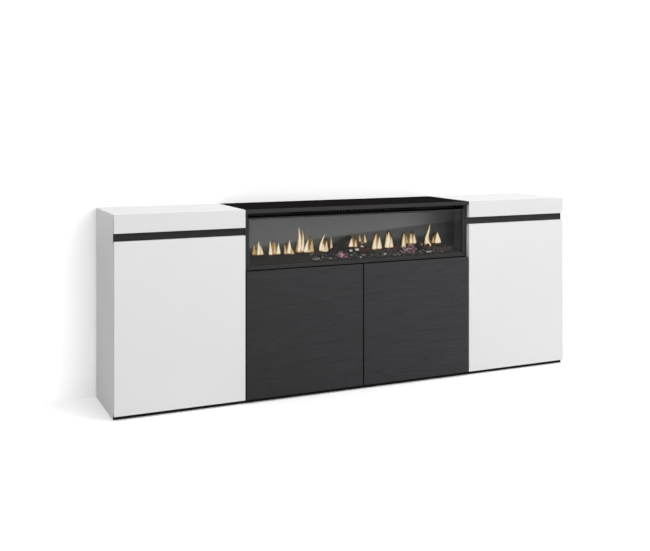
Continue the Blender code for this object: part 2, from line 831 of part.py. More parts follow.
def light_strip():
    """A narrow circuit board on the housing's floor, with a row of lamps under the spindle."""
    half = insert_half - steel - bed_end_gap
    front = screen_back + light_from_screen
    low = (-half, behind_front(front), tray_floor + seat)
    high = (half, behind_front(front + light_width), tray_floor + seat + light_board)
    strip = block("light_strip", low, high, board_green, 0)
    lamp = light_width / 3
    bm = bmesh.new()
    for number in range(light_count):
        x = half * (2 * (number + 0.5) / light_count - 1)
        middle = (x, behind_front(front + light_width / 2), high[2])
        bmesh.ops.create_cube(bm, size=lamp, matrix=Matrix.Translation(middle))
    fuse(strip, as_object("lamps", bm, board_green))


def blower_wheel():
    """A cross-flow wheel: curved blades round the rim between two discs, with a shaft through each disc."""
    y, z = blower_centre()
    half = blower_length / 2
    shaft_end = half + bracket_gap + 2 * bracket_sheet
    wheel = turned_disc("blower_wheel", -half, (y, z))
    other = turned_disc("blower_far_disc", half - disc_sheet, (y, z))
    wheel.data.shade_smooth()
    wheel.data.set_sharp_from_angle(angle=math.radians(35))
    bm = bmesh.new()
    for number in range(blower_blades):
        add_blade(bm, math.tau * number / blower_blades, half - disc_sheet / 2)
    blades = as_object("blower_blades", bm, bare_steel, (0, y, z))
    shafts = []
    seated = half - disc_sheet / 2
    for name, start, end in (("left", -shaft_end, -seated), ("right", seated, shaft_end)):
        shaft = rod(f"blower_{name}_shaft", (start, y, z), (end, y, z), blower_shaft_radius, bare_steel)
        shafts.append(shaft)
    fuse(wheel, blades, other, *shafts)


def turned_disc(name, low_x, centre):
    disc = rod(name, (low_x, *centre), (low_x + disc_sheet, *centre), blower_radius, bare_steel, 28)
    disc.data.transform(Matrix.Translation((low_x + disc_sheet / 2, 0, 0)))
    disc.location.x = 0
    return disc


def add_blade(bm, angle, half):
    """A strip bent to an arc, from just inside the rim towards the shaft, drawn out along X."""
    sections = []
    for offset in (0, blade_sheet):
        for step in range(blade_steps + 1):
            share = step / blade_steps if offset == 0 else 1 - step / blade_steps
            radius = blower_radius - blade_inset - blade_depth * share
            lead = blade_lead * (1 - share) ** 2 / radius
            turn = angle + lead + offset / radius
            sections.append((radius * math.cos(turn), radius * math.sin(turn)))
    near = [bm.verts.new((-half, y, z)) for y, z in sections]
    far = [bm.verts.new((half, y, z)) for y, z in sections]
    count = len(sections)
    for number in range(count):
        following = (number + 1) % count
        bm.faces.new((near[number], near[following], far[following], far[number]))
    for ring in (near, far):
        for step in range(blade_steps):
            bm.faces.new((ring[step], ring[step + 1], ring[count - 2 - step], ring[count - 1 - step]))


def outlet_grille():
    """The slotted plate in the step of the housing, where the warm air comes out under the top."""
    half = outlet_width / 2 - seat
    low_z = frame_top + 2 * seat
    high_z = insert_top - steel - seat
    y = behind_front(step_front)
    grille = block("outlet_grille", (-half, y, low_z), (half, y + outlet_sheet, high_z), black_steel, 0)
    pitch = 2 * half / outlet_slots
    margin = (high_z - low_z) / 6
    bm = bmesh.new()
    size = Matrix.Diagonal((pitch * outlet_slot_share, 4 * outlet_sheet, high_z - low_z - 2 * margin, 1))
    for number in range(outlet_slots):
        middle = (-half + pitch * (number + 0.5), y + outlet_sheet / 2, (low_z + high_z) / 2)
        bmesh.ops.create_cube(bm, size=1, matrix=Matrix.Translation(middle) @ size)
    cut(grille, as_object("grille_slots", bm, black_steel))


def cord_bush():
    """The bush in the housing's back where the mains cord goes in."""
    x = insert_half - bush_from_end
    z = insert_floor + bush_height
    start = behind_front(housing_back)
    profile = [(bush_bore, -bush_length / 2), (bush_radius, -bush_length / 2), (bush_radius, seat)]
    flange_top = seat + bush_flange_sheet
    profile += [(bush_flange, seat), (bush_flange, flange_top), (bush_bore, flange_top)]
    bush = turned("cord_bush", profile, Matrix.Rotation(-math.pi / 2, 3, "X"), black_trim, (x, start, z), 20)
    smooth_round(bush)


def fireplace():
    fireplace_frame()
    front_glass()
    firebox_housing()
    flame_screen()
    ember_bed()
    flame_spindle()
    spindle_motor()
    light_strip()
    blower_wheel()
    outlet_grille()
    cord_bush()


white_cabinet("left")
white_cabinet("right")
centre_cabinet()
doors()
push_latch()
fireplace()
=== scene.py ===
import math

import bpy
import numpy as np
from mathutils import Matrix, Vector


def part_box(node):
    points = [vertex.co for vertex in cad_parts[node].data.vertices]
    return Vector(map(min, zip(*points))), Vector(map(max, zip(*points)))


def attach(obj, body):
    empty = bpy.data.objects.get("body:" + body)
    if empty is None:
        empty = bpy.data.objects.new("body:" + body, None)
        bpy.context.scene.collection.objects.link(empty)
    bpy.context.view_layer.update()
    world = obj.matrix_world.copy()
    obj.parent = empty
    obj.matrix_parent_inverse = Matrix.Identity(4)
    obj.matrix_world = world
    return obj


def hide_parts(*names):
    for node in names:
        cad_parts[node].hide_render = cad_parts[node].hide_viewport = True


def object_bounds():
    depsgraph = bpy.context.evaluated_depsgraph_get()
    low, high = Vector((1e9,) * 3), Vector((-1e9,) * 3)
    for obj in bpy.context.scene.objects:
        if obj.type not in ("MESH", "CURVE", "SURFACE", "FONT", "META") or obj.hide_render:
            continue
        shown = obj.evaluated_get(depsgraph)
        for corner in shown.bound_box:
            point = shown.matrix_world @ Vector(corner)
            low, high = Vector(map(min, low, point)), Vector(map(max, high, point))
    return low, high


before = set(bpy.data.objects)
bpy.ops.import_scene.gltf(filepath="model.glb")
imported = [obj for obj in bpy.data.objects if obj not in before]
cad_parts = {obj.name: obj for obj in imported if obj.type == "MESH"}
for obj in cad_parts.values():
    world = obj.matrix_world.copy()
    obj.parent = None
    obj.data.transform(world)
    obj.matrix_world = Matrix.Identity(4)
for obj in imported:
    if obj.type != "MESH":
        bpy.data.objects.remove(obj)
cad_box = [list(corner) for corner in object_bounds()]


# White boards: chipboard faced with white melamine film and banded on its edges, made up with dowels and cam
# fittings. The film is satin, and its very fine grain only shows where it reflects. The fascias and doors are a
# shade greyer.

def finish(name, colour, roughness, metallic=0.0, specular=0.5):
    """A material with one Principled surface. The plain values go straight on its sockets."""
    made = bpy.data.materials.new(name)
    made.use_nodes = True
    surface = made.node_tree.nodes["Principled BSDF"]
    surface.inputs["Base Color"].default_value = (*colour, 1)
    surface.inputs["Roughness"].default_value = roughness
    surface.inputs["Metallic"].default_value = metallic
    surface.inputs["Specular IOR Level"].default_value = specular
    return made, surface


def add(made, kind, inputs=(), **settings):
    """A node of a material or of the sky. Each of its inputs is given a value, or another node's output to follow."""
    step = made.node_tree.nodes.new("ShaderNode" + kind)
    for setting, value in settings.items():
        setattr(step, setting, value)
    for socket, value in dict(inputs).items():
        if isinstance(value, bpy.types.NodeSocket):
            made.node_tree.links.new(value, step.inputs[socket])
        else:
            step.inputs[socket].default_value = value
    return step


def object_place(made, scale=(1, 1, 1)):
    """The place on the object in metres, stretched by a scale for each axis."""
    where = add(made, "TexCoord").outputs["Object"]
    return add(made, "Mapping", {"Vector": where, "Scale": scale}).outputs["Vector"]


def noise(made, where, scale, detail=2.0, roughness=0.5, distortion=0.0):
    """A cloudy value round a half, with a grain of about one metre over the scale."""
    inputs = {"Vector": where, "Scale": scale, "Detail": detail, "Roughness": roughness, "Distortion": distortion}
    return add(made, "TexNoise", inputs).outputs["Fac"]


def ramp(made, factor, *stops):
    """A colour ramp. Each stop is its place and its colour."""
    step = add(made, "ValToRGB", {"Fac": factor})
    elements = step.color_ramp.elements
    while len(elements) < len(stops):
        elements.new(1.0)
    for element, (place, colour) in zip(elements, stops):
        element.position = place
        element.color = (*colour, 1)
    return step.outputs["Color"]


def spread(made, factor, low, high, start=0.0, end=1.0, **settings):
    """A factor that runs from start to end, spread over a range of values and held at its ends."""
    inputs = {"Value": factor, "From Min": start, "From Max": end, "To Min": low, "To Max": high}
    return add(made, "MapRange", inputs, **settings).outputs["Result"]


def relief(made, surface, height, depth, strength=1.0):
    """Lets a height of 0 to 1, times a depth in metres, tilt the light on the surface."""
    inputs = {"Height": height, "Distance": depth, "Strength": strength}
    bump = add(made, "Bump", inputs).outputs["Normal"]
    made.node_tree.links.new(bump, surface.inputs["Normal"])


def follow(made, source, surface, socket):
    """Lets a socket of the surface take a node's output."""
    made.node_tree.links.new(source, surface.inputs[socket])


def dress(made, *names):
    """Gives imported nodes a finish."""
    for name in names:
        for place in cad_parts[name].material_slots:
            place.material = made


def white_melamine(name, level):
    """A broad, very faint cloud in the tone, a finer one in the gloss, and the film's grain in the relief."""
    made, surface = finish(name, (level, level, level), 0.38)
    where = object_place(made)
    tones = [(place, (level + shift,) * 3) for place, shift in ((0.3, -0.008), (0.7, 0.008))]
    follow(made, ramp(made, noise(made, where, 3.0, 3.0), *tones), surface, "Base Color")
    follow(made, spread(made, noise(made, where, 40.0, 4.0), 0.34, 0.42), surface, "Roughness")
    relief(made, surface, noise(made, where, 1400.0, 1.0), 0.00002)
    return made


white_board = white_melamine("white_melamine", 0.87)
for side in ("left", "right"):
    dress(white_board, *[f"{side}_{part}" for part in ("outer_side", "inner_side", "top", "bottom", "shelf")])
dress(white_melamine("white_melamine_fascia", 0.825), "left_fascia", "right_fascia")
dress(white_melamine("white_melamine_door", 0.852), "left_door", "right_door")


# Black boards: the same chipboard in a black film printed with a fine, open wood grain. The grain runs along the
# front on the doors and the boards that lie, and up on the uprights.

dark_grain = (0.0155, 0.0143, 0.0160)
pale_grain = (0.0300, 0.0278, 0.0312)


def reckon(made, operation, *values):
    """A sum on numbers or other nodes' outputs, done for each point of the surface."""
    return add(made, "Math", dict(enumerate(values)), operation=operation).outputs["Value"]


def along_axis(made, axis):
    """The place on the object along one of its axes."""
    return add(made, "SeparateXYZ", {"Vector": object_place(made)}).outputs[axis]


def grained_board(name, stretch, paler=0.0):
    """Streaks are noise drawn out along the grain. The arched figure is the contour lines of a wider, softer noise:
    a sine of 120 times its value. Towards the right the film may get paler: a painted sheen of the lamp's light."""
    made, surface = finish(name, pale_grain, 0.46)
    along = np.array(stretch)
    streaks = noise(made, object_place(made, along * 9), 1.0, 6.0, 0.62, 0.3)
    fibres = noise(made, object_place(made, along * 70), 1.0, 3.0, 0.5)
    wide = noise(made, object_place(made, along * 1.1), 1.0, 2.0, 0.45)
    rings = reckon(made, "MULTIPLY", wide, 120.0)
    lines = reckon(made, "SINE", rings)
    figure = spread(made, reckon(made, "ADD", lines, 1.0), 0.0, 0.5)
    mixed = reckon(made, "MULTIPLY", streaks, 0.62)
    mixed = reckon(made, "MULTIPLY_ADD", figure, 0.22, mixed)
    mixed = reckon(made, "MULTIPLY_ADD", fibres, 0.26, mixed)
    to_right = along_axis(made, "X")
    painted_sheen_gain = reckon(made, "MULTIPLY_ADD", to_right, paler, 1.0 + paler / 2)
    colour = ramp(made, mixed, (0.30, dark_grain), (0.78, pale_grain))
    colour = add(made, "VectorMath", {0: colour, "Scale": painted_sheen_gain}, operation="SCALE").outputs["Vector"]
    follow(made, colour, surface, "Base Color")
    follow(made, spread(made, mixed, 0.56, 0.40), surface, "Roughness")
    relief(made, surface, mixed, 0.00010)
    return made


front_grain = grained_board("black_grain_along", (1, 8, 14))
upright_grain = grained_board("black_grain_up", (14, 8, 1))
top_grain = grained_board("black_grain_top", (1, 14, 14))
# The doors' film grows paler to the right, as a painted sheen.
door_grain = grained_board("black_grain_door", (1, 8, 14), 0.55)
dress(front_grain, "centre_bottom", "fireplace_shelf")
dress(door_grain, "centre_left_door", "centre_right_door")
dress(upright_grain, "centre_left_side", "centre_right_side", "centre_divider")
dress(top_grain, "centre_top")


def matt_faces(made, axis, middle, reach, low, high, within=None):
    """Mixes a matt surface in where the normal's share along an axis is within reach of a middle value. Such faces
    don't mirror what is round them."""
    nodes = made.node_tree.nodes
    normal = add(made, "SeparateXYZ", {"Vector": add(made, "NewGeometry").outputs["True Normal"]}).outputs[axis]
    chosen = reckon(made, "COMPARE", normal, middle, reach)
    if within is not None:
        chosen = reckon(made, "MULTIPLY", chosen, within)
    fine = noise(made, object_place(made, (60, 500, 500)), 1.0, 4.0, 0.6)
    matt = add(made, "BsdfDiffuse", {"Roughness": 0.6, "Color": ramp(made, fine, (0.3, low), (0.7, high))})
    board = nodes["Principled BSDF"].outputs["BSDF"]
    mix = add(made, "MixShader", {0: chosen, 1: board, 2: matt.outputs["BSDF"]}).outputs["Shader"]
    made.node_tree.links.new(mix, nodes["Material Output"].inputs["Surface"])


# The top's upper face is plain, matt and darker than its edges. The edges in narrow gaps are painted shade, dark
# and matt: those of the doors, the front edges of the boards that lie, and the uprights' beside the white cabinets.
shadow_low = (0.0025, 0.0022, 0.0024)
shadow_high = (0.0045, 0.0040, 0.0042)
matt_faces(top_grain, "Z", 1.0, 0.1, (0.0110, 0.0096, 0.0104), (0.0145, 0.0127, 0.0135))
matt_faces(door_grain, "Y", 0.0, 0.5, shadow_low, shadow_high)
matt_faces(front_grain, "Y", -1.0, 0.5, shadow_low, shadow_high)
aside = reckon(upright_grain, "ABSOLUTE", along_axis(upright_grain, "X"))
joint_shadow = 0.5240  # from the middle, where painted shade of the joint with a white cabinet darkens an upright
painted_joint_shade = reckon(upright_grain, "GREATER_THAN", aside, joint_shadow)
matt_faces(upright_grain, "Y", -1.0, 0.5, shadow_low, shadow_high, painted_joint_shade)


# Black strips: thin strips of black laminate on the front edges of the carcasses, seen in the finger gaps over
# the white doors and along the floor. They are plain and satin. Those along the floor are darker, as painted shade
# under the doors, and those over the doors grow paler to the right, as painted light.

# Painted shade: the strips along the floor are darker than those over the doors.
painted_shade_trim, surface = finish("black_laminate", (0.011, 0.0108, 0.011), 0.45, specular=0.15)
where = object_place(painted_shade_trim)
follow(painted_shade_trim, ramp(painted_shade_trim, noise(painted_shade_trim, where, 25.0, 3.0), (0.3, (0.010, 0.0098, 0.010)), (0.7, (0.012, 0.0118, 0.012))),
       surface, "Base Color")
relief(painted_shade_trim, surface, noise(painted_shade_trim, where, 900.0, 2.0), 0.00003)
for cabinet in ("left", "centre", "right"):
    dress(painted_shade_trim, f"{cabinet}_base_strip")
handle_trim, surface = finish("black_laminate_upper", (0.020, 0.0195, 0.020), 0.45, specular=0.3)
where = object_place(handle_trim)
# Painted light: the strips over the doors grow paler towards the right.
mottle_and_painted_light = reckon(handle_trim, "MULTIPLY_ADD", along_axis(handle_trim, "X"), 0.30, noise(handle_trim, where, 25.0, 3.0))
follow(handle_trim, ramp(handle_trim, mottle_and_painted_light, (0.25, (0.019, 0.0185, 0.019)), (0.75, (0.033, 0.0325, 0.033))), surface,
       "Base Color")
relief(handle_trim, surface, noise(handle_trim, where, 900.0, 2.0), 0.00003)
dress(handle_trim, "left_handle_strip", "right_handle_strip")


# Backs: 3 mm hardboard in grooveless rebates, nailed on. The face inside the cabinet is lacquered in the colour
# of the boards, and the face towards the wall is bare pressed fibre.

def blend(made, factor, first, second):
    """The first colour where the factor is 0, and the second where it is 1."""
    return add(made, "Mix", {0: factor, 6: first, 7: second}, data_type="RGBA").outputs[2]


def hardboard(name, inside):
    """Pressed fibre: a fine noise over a broad one. The inner face is told from the bare one by its normal, which
    points to the front."""
    made, surface = finish(name, (0.30, 0.19, 0.11), 0.75)
    where = object_place(made)
    fibre = noise(made, where, 700.0, 5.0, 0.7)
    blotch = noise(made, where, 14.0, 4.0, 0.6)
    mixed = reckon(made, "MULTIPLY", blotch, 0.4)
    mixed = reckon(made, "MULTIPLY_ADD", fibre, 0.6, mixed)
    bare = ramp(made, mixed, (0.32, (0.19, 0.115, 0.065)), (0.68, (0.36, 0.24, 0.15)))
    normal = add(made, "NewGeometry").outputs["True Normal"]
    towards_back = add(made, "SeparateXYZ", {"Vector": normal}).outputs["Y"]
    is_inside = reckon(made, "LESS_THAN", towards_back, -0.5)
    follow(made, blend(made, is_inside, bare, (*inside, 1)), surface, "Base Color")
    relief(made, surface, fibre, 0.00006, 0.6)
    return made


dress(hardboard("hardboard_white_inside", (0.80, 0.80, 0.79)), "left_back", "right_back")
dress(hardboard("hardboard_black_inside", (0.020, 0.0195, 0.020)), "centre_back")


# Hinges: pressed steel with a nickel plating, brushed by its own drawing marks. Each cup is held by two screws
# through its wings, and each arm by two screws in its channel, all with a cross recess.

nickel, surface = finish("nickel_plate", (0.60, 0.585, 0.55), 0.30, metallic=1.0)
marks = noise(nickel, object_place(nickel, (900, 900, 60)), 1.0, 3.0)
follow(nickel, ramp(nickel, marks, (0.3, (0.52, 0.505, 0.475)), (0.7, (0.66, 0.645, 0.61))), surface, "Base Color")
follow(nickel, spread(nickel, marks, 0.24, 0.40), surface, "Roughness")
relief(nickel, surface, marks, 0.00002)
door_names = ("left_door", "centre_left_door", "centre_right_door", "right_door")
for door in door_names:
    for level in ("lower", "upper"):
        dress(nickel, f"{door}_{level}_hinge_cup", f"{door}_{level}_hinge_arm")


def tubes(name, rings, made, body):
    """Closed tubes in one object. rings[t, i, j] is point j of ring i of tube t. Each ring is joined to the next by
    four-sided faces, and the first and the last ring are closed by one face each. Seen from the last ring's side,
    the points of a ring run anticlockwise, so that the faces point outwards."""
    count, along, around = rings.shape[:3]
    index = np.arange(count * along * around).reshape(count, along, around)
    onward = np.roll(index, -1, axis=2)
    sides = np.stack([index[:, :-1], onward[:, :-1], onward[:, 1:], index[:, 1:]], axis=-1).reshape(-1, 4)
    ends = np.concatenate([index[:, 0, ::-1], index[:, -1]])
    mesh = bpy.data.meshes.new(name)
    mesh.from_pydata(rings.reshape(-1, 3), [], [*sides.tolist(), *ends.tolist()])
    mesh.polygons.foreach_set("use_smooth", np.ones(len(mesh.polygons), bool))
    mesh.materials.append(made)
    piece = bpy.data.objects.new(name, mesh)
    bpy.context.scene.collection.objects.link(piece)
    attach(piece, body)
    return piece


def screw_heads(name, places, outwards, radius, body):
    """Pan heads. Over a disc, the height falls from the middle to the rim as the root of one less the squared
    radius, and within two crossed bars it drops by a fixed depth. A head is rings round its axis: out along its
    flat underside, and back in over its top."""
    turn = np.linspace(0, math.tau, 32, endpoint=False)
    share = np.array([0.02, 0.12, 0.24, 0.36, 0.48, 0.60, 0.62, 0.72, 0.82, 0.92, 0.98, 1.0])[::-1]
    across = share[:, None] * np.cos(turn)
    up = share[:, None] * np.sin(turn)
    dome = 0.55 * np.sqrt(np.clip(1.0 - 0.8 * share[:, None] ** 2, 0, 1)) + 0 * across
    bar_half, bar_reach, bar_depth = 0.14, 0.61, 0.28  # of the cross recess, as shares of the radius
    recess = ((np.abs(across) < bar_half) | (np.abs(up) < bar_half)) & (share[:, None] < bar_reach)
    level = np.where(recess, dome - bar_depth, dome)
    head = np.stack([across, up, level], axis=-1)
    foot = np.stack([np.cos(turn), np.sin(turn), 0 * turn], axis=-1)[None]
    head = np.concatenate([foot, head]) * radius
    outwards = np.array(outwards, float)
    first = np.array([0.0, 0.0, 1.0])
    second = np.cross(outwards, first)
    rings = np.array(places)[:, None, None] + head @ np.stack([first, second, outwards])
    return tubes(name, rings, nickel, body)


wing_screw_reach = 0.0238  # from the middle of a cup
arm_screws = (0.0400, 0.0140)  # in front of the back end of an arm
channel_depth = 0.00836  # from the arm's outer side to the floor of its channel
for door in door_names:
    hinged_left = door in ("left_door", "centre_left_door")
    cup_places = []
    arm_places = []
    for level in ("lower", "upper"):
        low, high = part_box(f"{door}_{level}_hinge_cup")
        middle = (low + high) / 2
        for z in (middle.z - wing_screw_reach, middle.z + wing_screw_reach):
            cup_places.append((middle.x, high.y - 0.0001, z))
        low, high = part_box(f"{door}_{level}_hinge_arm")
        channel_face = low.x + channel_depth if hinged_left else high.x - channel_depth
        for from_back in arm_screws:
            arm_places.append((channel_face, high.y - from_back, middle.z))
    screw_heads(f"{door}_cup_screws", cup_places, (0, 1, 0), 0.0034, door)
    screw_heads(f"{door}_arm_screws", arm_places, (1 if hinged_left else -1, 0, 0), 0.0032, "cabinet")


# Nails in the backs: small flat-headed steel nails, a hand's width apart round the edge of each back and into
# the boards between the uprights.

def nail_heads(name, places, radius, proud):
    """Shallow domes: the height over a disc is its fraction of the proud height, falling with the squared radius."""
    turn = np.linspace(0, math.tau, 14, endpoint=False)
    share = np.array([1.0, 1.0, 0.7, 0.35, 0.05])[:, None]
    level = np.array([0.0, 0.5, 0.8, 0.95, 1.0])[:, None] * proud
    rings = np.stack([share * radius * np.cos(turn), level + 0 * turn, -share * radius * np.sin(turn)], axis=-1)
    rings = np.array(places)[:, None, None] + rings[None]
    return tubes(name, rings, nickel, "cabinet")


nail_inset = 0.005
for cabinet, nails_across in (("left", 5), ("centre", 9), ("right", 5)):
    low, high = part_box(f"{cabinet}_back")
    face = high.y - 0.00005
    steps_up = np.linspace(low.z + 0.012, high.z - 0.008, 8)
    steps_across = np.linspace(low.x + 0.06, high.x - 0.06, nails_across)
    nails = [(x, face, z) for x in (low.x + nail_inset, high.x - nail_inset) for z in steps_up]
    nails += [(x, face, z) for x in steps_across for z in (low.z + 0.013, high.z - nail_inset)]
    nail_heads(f"{cabinet}_back_nails", nails, 0.0024, 0.0004)


# Push latch: grey acetal, a body screwed under the fireplace shelf with a plunger for each black door. The
# motor of the flame spindle has a case of the same plastic.

acetal, surface = finish("grey_acetal", (0.34, 0.34, 0.345), 0.42)
where = object_place(acetal)
follow(acetal, ramp(acetal, noise(acetal, where, 60.0, 3.0), (0.3, (0.325, 0.325, 0.33)), (0.7, (0.355, 0.355, 0.36))),
       surface, "Base Color")
relief(acetal, surface, noise(acetal, where, 2500.0, 2.0), 0.00002)
dress(acetal, "latch_body", "left_plunger", "right_plunger", "spindle_motor")


# Fireplace housing, outlet grille and frame: folded steel sheet with a fine powder coat, black on the frame and
# dark grey inside. Where the housing shows in the slot over the window it is darkened to black, as painted shade
# in the slot. The frame stands before the glass, and its stepped inner edge catches the light. The grille is paler
# in its middle.

def powder_coat(name, low, high):
    """A broad cloud of two close tones, with a fine grit in the gloss and the relief."""
    made, surface = finish(name, (low, low, low), 0.50)
    where = object_place(made)
    grit = noise(made, where, 1600.0, 2.0)
    cloud = ramp(made, noise(made, where, 18.0, 3.0), (0.3, (low, low, low)), (0.7, (high, high, high)))
    follow(made, cloud, surface, "Base Color")
    follow(made, spread(made, grit, 0.42, 0.58), surface, "Roughness")
    relief(made, surface, grit, 0.00005)
    return made


dress(powder_coat("black_powder_coat", 0.027, 0.033), "fireplace_frame")
housing = powder_coat("grey_powder_coat", 0.088, 0.100)
shell = housing.node_tree.nodes["Principled BSDF"]
inside = shell.inputs["Base Color"].links[0].from_socket
# Painted shade: over the window, in the slot, the housing darkens to near black.
slot_shade_heights = (0.735, 0.738)
painted_slot_shade = spread(housing, along_axis(housing, "Z"), 0.0, 1.0, *slot_shade_heights)
follow(housing, blend(housing, painted_slot_shade, inside, (0.017, 0.016, 0.017, 1)), shell, "Base Color")
dress(housing, "firebox_housing")
grille, surface = finish("outlet_grille_coat", (0.012, 0.012, 0.012), 0.5, specular=0.2)
aside = reckon(grille, "ABSOLUTE", along_axis(grille, "X"))
tones = ramp(grille, aside, (0.16, (0.048, 0.046, 0.048)), (0.30, (0.026, 0.025, 0.026)))
follow(grille, tones, surface, "Base Color")
relief(grille, surface, noise(grille, object_place(grille), 1600.0, 2.0), 0.00005)
dress(grille, "outlet_grille")


# Cord bush: a moulded bush of soft black rubber, pressed from behind into its hole in the back of the housing,
# where the cord goes in.

rubber, surface = finish("black_rubber", (0.018, 0.018, 0.018), 0.65)
where = object_place(rubber)
bloom = noise(rubber, where, 300.0, 3.0)
follow(rubber, ramp(rubber, bloom, (0.3, (0.015, 0.015, 0.015)), (0.7, (0.026, 0.026, 0.026))), surface, "Base Color")
relief(rubber, surface, bloom, 0.00005)
dress(rubber, "cord_bush")


# Flame drive and blower: bare zinc-coated sheet. The flags of the spindle are small mirrors that throw the light
# of the lamps on the screen, and the blower's blades are rolled from the same sheet.

sheet_steel, surface = finish("zinc_sheet", (0.58, 0.585, 0.59), 0.30, metallic=1.0)
spangle = add(sheet_steel, "TexVoronoi", {"Vector": object_place(sheet_steel), "Scale": 160.0}).outputs["Color"]
spangle = add(sheet_steel, "SeparateColor", {"Color": spangle}).outputs["Red"]
follow(sheet_steel, ramp(sheet_steel, spangle, (0.1, (0.50, 0.505, 0.51)), (0.9, (0.66, 0.665, 0.67))), surface,
       "Base Color")
follow(sheet_steel, spread(sheet_steel, spangle, 0.22, 0.38), surface, "Roughness")
dress(sheet_steel, "flame_spindle", "blower_wheel")


# Lamps: a narrow green circuit board, flat on the housing's floor, with a row of warm white lamps on it under the
# spindle. Only the lamps' tops are pale.

lamp_board, surface = finish("lamp_board", (0.03, 0.13, 0.06), 0.38)
over_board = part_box("light_strip")[0].z + 0.0018  # the board is a little thinner than this
is_lamp = reckon(lamp_board, "GREATER_THAN", along_axis(lamp_board, "Z"), over_board)
follow(lamp_board, ramp(lamp_board, is_lamp, (0.0, (0.028, 0.12, 0.055)), (1.0, (0.85, 0.80, 0.62))), surface,
       "Base Color")
relief(lamp_board, surface, noise(lamp_board, object_place(lamp_board), 900.0, 2.0), 0.00004)
dress(lamp_board, "light_strip")


# Flame screen: a sheet of grey satin acrylic across the back of the fire, on which the flames show. Its tone is
# painted light and shade: palest right of the middle, darker to the left and darkest at its right end, and nearly
# black just over the bed, as a painted shadow of the bed.

screen, surface = finish("grey_acrylic", (0.085, 0.085, 0.085), 0.32)
across = along_axis(screen, "X")
share = spread(screen, across, 0.0, 1.0, -0.5, 0.5)
# Painted light and shade along the screen.
lit = ramp(screen, share, (0.0, (0.052, 0.052, 0.052)), (0.30, (0.060, 0.060, 0.060)), (0.70, (0.088, 0.088, 0.088)),
           (0.835, (0.085, 0.085, 0.085)), (0.886, (0.046, 0.046, 0.045)), (0.94, (0.022, 0.022, 0.022)))
# Painted shadow of the bed along the foot of the screen.
bed_shade = (0.596, 0.626)  # from nearly black up to the plain tone, in the middle of the screen
shade_rise = 0.0315  # for each metre to the right
level = reckon(screen, "MULTIPLY_ADD", across, -shade_rise, along_axis(screen, "Z"))
painted_bed_shadow = spread(screen, level, 0.0, 1.0, *bed_shade, interpolation_type="SMOOTHSTEP")
follow(screen, blend(screen, painted_bed_shadow, (0.006, 0.0055, 0.005, 1), lit), surface, "Base Color")
gloss = noise(screen, object_place(screen), 6.0, 3.0)
follow(screen, spread(screen, gloss, 0.28, 0.36), surface, "Roughness")
dress(screen, "flame_screen")


# Bed: fine vermiculite gravel, charred dark, on a moulded tray that slopes up to the screen. It is one heap in
# the frame's space, and the logs and stones lie on it.

bed_low, bed_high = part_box("ember_bed")
bed_front_level = 0.5476
bed_back_level = 0.5746


def bed_level(y):
    """The height of the gravel at a distance into the bed: a straight slope from the front to the back."""
    share = np.clip((y - bed_low.y) / (bed_high.y - bed_low.y), 0, 1)
    return bed_front_level + (bed_back_level - bed_front_level) * share


def grains(x, y, size, random_table):
    """Grains as domes on a jittered grid. Each point looks at the nine cells round it, takes the nearest cell
    centre, and its height falls with the squared distance from that. Gives the height, 0 to 1, and a random number
    of the nearest grain."""
    cell_x = np.floor(x / size).astype(int)
    cell_y = np.floor(y / size).astype(int)
    nearest = np.full(x.shape, 9.0)
    own = np.zeros(x.shape)
    for step_x in (-1, 0, 1):
        for step_y in (-1, 0, 1):
            row = (cell_x + step_x) % 1024
            column = (cell_y + step_y) % 64
            jitter = random_table[row, column]
            centre_x = (cell_x + step_x + 0.15 + 0.7 * jitter[..., 0]) * size
            centre_y = (cell_y + step_y + 0.15 + 0.7 * jitter[..., 1]) * size
            squared = ((x - centre_x) ** 2 + (y - centre_y) ** 2) / size**2
            own = np.where(squared < nearest, jitter[..., 2], own)
            nearest = np.minimum(nearest, squared)
    return np.clip(1.0 - 1.6 * nearest, 0, 1), own


def gravel(name, columns, rows):
    """A profile across the bed, carried along the front: from the bottom at the front to the bottom at the back,
    and back over the top. The top's height is the slope plus grains of two sizes and a slow swell."""
    table = np.random.default_rng(11).random((1024, 64, 3))
    x = np.linspace(bed_low.x, bed_high.x, columns)[:, None]
    y = np.linspace(bed_high.y, bed_low.y, rows)[None, :]
    x, y = np.broadcast_arrays(x, y)
    coarse_grain, fine_grain = 0.0042, 0.0024
    coarse, tone = grains(x, y + 0.5, coarse_grain, table)
    fine, fine_tone = grains(x + 0.37, y + 0.5, fine_grain, table)
    swell = np.sin(17 * x + 30 * y) * 0.0010 + np.sin(43 * x - 55 * y) * 0.0007
    top = bed_level(y) - 0.0012 + 0.0019 * coarse + 0.0009 * fine + swell
    surface_points = np.stack([x, y, top], axis=-1)
    bottom = np.full((columns, 1), bed_low.z)
    front = np.stack([x[:, -1:], y[:, -1:], bottom], axis=-1)
    back = np.stack([x[:, :1], y[:, :1], bottom], axis=-1)
    rings = np.concatenate([front, back, surface_points], axis=1)[None]
    piece = tubes(name, rings, ember_gravel, "cabinet")
    tones = np.concatenate([np.zeros((columns, 2)), 0.6 * tone + 0.4 * fine_tone], axis=1)
    piece.data.attributes.new("grain", "FLOAT", "POINT").data.foreach_set("value", tones.ravel())
    return piece


ember_gravel, surface = finish("charred_gravel", (0.022, 0.018, 0.014), 0.85, specular=0.2)
own_tone = add(ember_gravel, "Attribute", attribute_name="grain").outputs["Fac"]
where = object_place(ember_gravel)
follow(ember_gravel, ramp(ember_gravel, own_tone, (0.15, (0.011, 0.009, 0.007)), (0.60, (0.023, 0.019, 0.014)),
                          (0.85, (0.042, 0.035, 0.026)), (0.97, (0.12, 0.105, 0.090))), surface, "Base Color")
relief(ember_gravel, surface, noise(ember_gravel, where, 1500.0, 3.0), 0.0003)
bed = gravel("gravel_bed", 840, 56)
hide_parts("ember_bed")


# Logs: moulded ceramic fibre, painted as charred wood. Bark runs along each log, cracked across by the fire, and
# the cut end of the log at the right shows pinkish brown wood.

